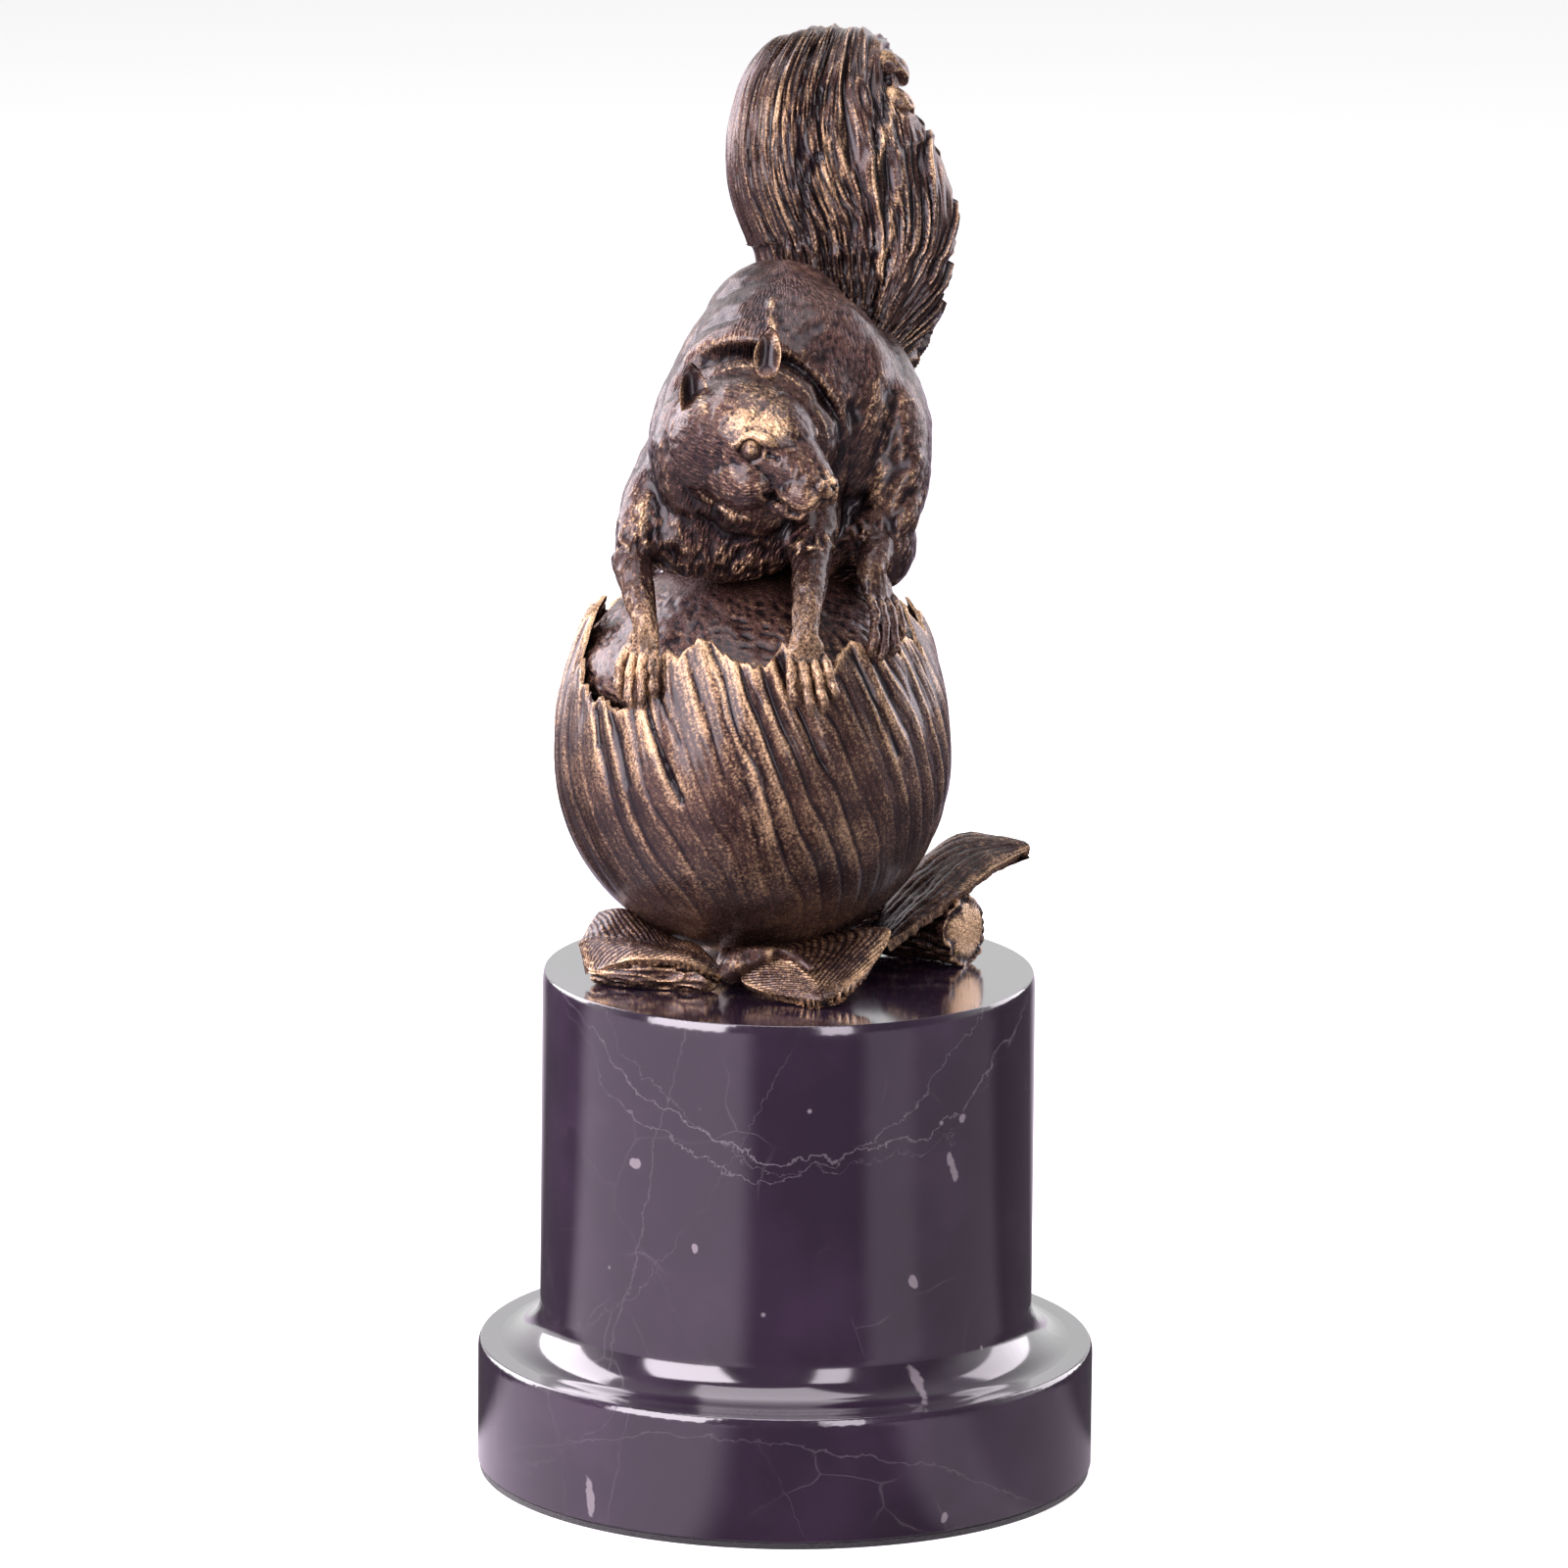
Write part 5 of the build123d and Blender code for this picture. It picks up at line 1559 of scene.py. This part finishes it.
class FIGURINE_OT_twig(bpy.types.Operator):
    """Model the cut branch and the knot that carry the nut"""

    bl_idname = "figurine.twig"
    bl_label = "Twig"

    def execute(self, context):
        rows = moved(BRANCH_ROWS, (0.0, 0.0, STONE_TOP))
        piece, share, angle = swell(rows, across=(0, 1, 0), segments=160, rings=150, cap=0.035)
        points = points_of(piece)
        ridge_place = angle / math.tau * BARK_RIDGES + lumps(points, 5.0, 91) * 0.8
        ridge = np.abs(ridge_place - np.round(ridge_place)) * 2
        bark = (ease(ridge, 0.0, 0.7) - 0.5) * 0.35
        bark = bark + lumps(points, 2.0, 92) * 0.35 + lumps(points, 0.8, 93) * 0.12
        bark *= ease(1 - share, 0.0, 0.05)
        points = points + normals_of(piece) * bark[:, None]
        face = rows[-1, :3]
        depth = (points - face) @ CUT_FACING
        off = np.linalg.norm(points - face - depth[:, None] * CUT_FACING, axis=1)
        wood = ease(off, 5.3, 4.6) * ease(share, 0.9, 0.96)
        points += CUT_FACING * ((wood * (depth * -1.0 + 0.75 + lumps(points, 2.6, 95) * 0.15)))[:, None]
        flare = ease(share, 0.90, 0.97) * ease(off, 4.6, 5.6)
        points += CUT_FACING * (flare * (0.7 + lumps(points, 2.5, 96) * 0.9))[:, None]
        set_points(piece, points)
        parts = [piece, ball((NUT_X / 2, 0, STONE_TOP + PLATE_RISE), PLATE_RADII, segments=64)]
        for rows in (KNOT_ROWS, STEM_ROWS):
            stem = swell(moved(rows, UNDER_NUT), segments=48, rings=64)[0]
            lift_along(stem, lumps(points_of(stem), 1.8, 94) * 0.35)
            parts.append(stem)
        piece = join(parts)
        rest_on_stone(piece)
        measure_relief(piece, 12, 0.2)
        rub(piece, [face], 4.4, 0.8)
        metal = bronze("bronze_twig", grain=1.4, gilding=-0.02)
        finish_piece(piece, "twig_shape", metal, "twig")
        return {"FINISHED"}


# Branch: ridges of its bark, the way that its cut end faces, and the plate that it carries the nut with
BARK_RIDGES = 17
CUT_FACING = unit(np.array((0.80, -0.60, 0.04)))
PLATE_RISE = 2.2
PLATE_RADII = (13.0, 13.0, 2.8)
# Knot and stem of the front leaf over the stone under the nut
KNOT_ROWS = [
    (-3.0, -10.0, 3.6, 3.4, 3.2), (-2.2, -17.0, 4.6, 3.0, 2.8), (-1.6, -21.5, 6.6, 2.4, 2.2),
    (-1.4, -23.0, 7.4, 1.6, 1.6),
]
STEM_ROWS = [
    (-4.5, -21.0, 3.0, 2.0, 2.0), (-2.0, -22.4, 6.4, 2.2, 2.0), (2.5, -21.8, 8.0, 1.8, 1.5),
    (7.5, -21.4, 7.4, 1.2, 1.0), (11.0, -23.5, 5.2, 0.7, 0.6),
]
# Branch over the stone: x, y, z, half width and half height
BRANCH_ROWS = [
    (2.0, 8.0, 5.5, 5.0, 4.6), (12.0, 11.5, 5.4, 5.0, 4.9), (21.0, 10.5, 5.6, 5.2, 5.3),
    (27.0, 7.4, 6.0, 5.4, 5.8), (31.0, 4.4, 6.3, 5.9, 6.3),
]


class FIGURINE_OT_stage(bpy.types.Operator):
    """Set the floor, the lamps, the world and the camera of the photograph"""

    bl_idname = "figurine.stage"
    bl_label = "Stage"

    def execute(self, context):
        scene = context.scene
        scene.view_settings.view_transform = "Standard"
        deselect()
        bpy.ops.mesh.primitive_circle_add(vertices=96, radius=FLOOR_RADIUS, fill_type="NGON")
        floor = bpy.context.object
        floor.name = "floor"
        floor.data.materials.append(floor_material())
        scene.world = studio_world()
        for name, place, size, power, colour in LAMPS:
            lamp = bpy.data.lights.new(name, "AREA")
            lamp.shape = "RECTANGLE"
            lamp.size, lamp.size_y = size
            lamp.energy = power
            lamp.color = colour
            turn = (LAMP_AIM - Vector(place)).to_track_quat("-Z", "Y").to_matrix().to_4x4()
            hang(name, lamp, Matrix.Translation(place) @ turn)
        lens = bpy.data.cameras.new("photo_camera")
        lens.sensor_width = SENSOR
        lens.lens = FOCAL_PIXELS / PHOTO_PIXELS * SENSOR
        lens.clip_end = 20
        turn = Matrix.Rotation(math.pi / 2 - CAMERA_PITCH, 4, "X") @ Matrix.Rotation(CAMERA_ROLL, 4, "Z")
        scene.camera = hang("photo_camera", lens, Matrix.Translation(Vector(CAMERA_PLACE / MM)) @ turn)
        return {"FINISHED"}


def hang(name, data, placed):
    """Add a lamp or a camera to the scene, placed by a matrix."""
    holder = bpy.data.objects.new(name, data)
    bpy.context.scene.collection.objects.link(holder)
    holder.matrix_world = placed
    return holder


# Radius of the floor and the point that the lamps face, in metres
FLOOR_RADIUS = 3.0
LAMP_AIM = Vector((0, 0, 0.14))
# Lamps: name, place and size in metres, power in watts and colour
LAMPS = [
    ("left_softbox", (-0.85, -0.78, 0.50), (0.85, 0.95), 19.0, (1.0, 0.90, 1.0)),
    ("right_softbox", (0.42, -1.05, 0.45), (0.32, 0.85), 4.0, (1.0, 0.90, 1.0)),
    ("top_softbox", (-0.1, -0.3, 1.20), (0.9, 0.9), 7.5, (1.0, 0.92, 1.0)),
    ("rear_left", (-0.9, 0.6, 0.6), (0.8, 1.0), 14.0, (1.0, 0.92, 1.0)),
    ("rear_right", (0.9, 0.6, 0.5), (0.7, 0.9), 6.0, (1.0, 0.92, 1.0)),
]


def ray_share(shop, *kinds):
    """Give 1 on the named kinds of ray."""
    paths = shop.add("ShaderNodeLightPath")
    total = Wire(shop, paths.outputs[kinds[0]])
    for kind in kinds[1:]:
        total = total.larger(Wire(shop, paths.outputs[kind]))
    return total


# Tint of the floor where polished stone and metal mirror it
MIRRORED_FLOOR = (0.98, 0.83, 1.0)


def floor_material():
    """Make the pale floor: white behind the object, softly lit round it in reflections."""
    shop = material_shop("floor")
    seen = ray_share(shop, "Is Camera Ray", "Is Transmission Ray")
    mirrored = ray_share(shop, "Is Glossy Ray")
    right, back, _ = shop.split(shop.place())
    turn = right.maths("ARCTAN2", right, back * -1)
    left_glow = turn.ramp(-0.20, -0.40) * (1 - turn.ramp(-1.72, -1.95))
    right_glow = turn.ramp(0.52, 0.68) * (1 - turn.ramp(0.92, 1.08) * 0.5) * (1 - turn.ramp(1.72, 1.92))
    behind = turn.size().ramp(2.55, 2.9)
    glow = (left_glow * 0.72 + right_glow * 0.40 + behind * 0.7 + 0.08).smaller(1.0)
    dark = shop.glow("ShaderNodeEmission", (0, 0, 0), 0.0)
    reflected = shop.layer(glow, dark, shop.glow("ShaderNodeEmission", MIRRORED_FLOOR))
    cloth = shop.add("ShaderNodeBsdfDiffuse", None, {"Color": (0.8, 0.8, 0.8, 1.0)})
    pale = shop.glow("ShaderNodeEmission", (1, 1, 1), 0.62)
    both = shop.add("ShaderNodeAddShader", None, {0: cloth.outputs[0], 1: pale.outputs[0]})
    lit = shop.layer(seen, cloth, both)
    shop.add("ShaderNodeOutputMaterial", None, {"Surface": shop.layer(mirrored, lit, reflected).outputs[0]})
    return shop.owner


def studio_world():
    """Make the studio: a white backdrop behind the object, and a darker room towards the camera."""
    shop = Shop(bpy.data.worlds.new("studio"))
    _, behind, high = shop.split(shop.add("ShaderNodeTexCoord").outputs["Generated"])
    backdrop = behind.ramp(-0.35, 0.35) * (1 - high.ramp(0.25, 0.75) * 0.7)
    seen = ray_share(shop, "Is Camera Ray", "Is Transmission Ray")
    mirrored = ray_share(shop, "Is Glossy Ray")
    level = seen.larger(0.30 * (1 - mirrored) + (0.10 + backdrop * 0.90) * mirrored)
    dark = shop.glow("ShaderNodeBackground", (0, 0, 0), 0.0)
    white = shop.glow("ShaderNodeBackground", (1, 1, 1))
    shop.add("ShaderNodeOutputWorld", None, {"Surface": shop.layer(level, dark, white).outputs[0]})
    return shop.owner


class FIGURINE_PT_panel(bpy.types.Panel):
    """Lists the figurine's pieces, sizes and colours"""

    bl_idname = "FIGURINE_PT_panel"
    bl_label = "Squirrel figurine"
    bl_space_type = "VIEW_3D"
    bl_region_type = "UI"
    bl_category = "Figurine"

    def draw(self, context):
        layout = self.layout
        for settings in (context.scene.figurine_sizes, context.scene.figurine_colours):
            for name in settings.__annotations__:
                layout.prop(settings, name)
        for operator in PIECE_OPERATORS:
            layout.operator(operator.bl_idname)


PIECE_OPERATORS = (
    FIGURINE_OT_base,
    FIGURINE_OT_fasteners,
    FIGURINE_OT_twig,
    FIGURINE_OT_leaves,
    FIGURINE_OT_husk,
    FIGURINE_OT_kernel,
    FIGURINE_OT_torso,
    FIGURINE_OT_head,
    FIGURINE_OT_tail,
    FIGURINE_OT_limbs,
    FIGURINE_OT_stage,
)
CLASSES = (FigurineSizes, FigurineColours, FIGURINE_PT_panel) + PIECE_OPERATORS


def register():
    """Register the classes and their settings on the scene."""
    for item in CLASSES:
        bpy.utils.register_class(item)
    bpy.types.Scene.figurine_sizes = bpy.props.PointerProperty(type=FigurineSizes)
    bpy.types.Scene.figurine_colours = bpy.props.PointerProperty(type=FigurineColours)


def unregister():
    """Take the settings and the classes away again."""
    del bpy.types.Scene.figurine_sizes
    del bpy.types.Scene.figurine_colours
    for item in reversed(CLASSES):
        bpy.utils.unregister_class(item)


def main():
    """Build every piece and the stage."""
    register()
    for operator in PIECE_OPERATORS:
        group, name = operator.bl_idname.split(".")
        getattr(getattr(bpy.ops, group), name)()


if __name__ == "__main__":
    main()
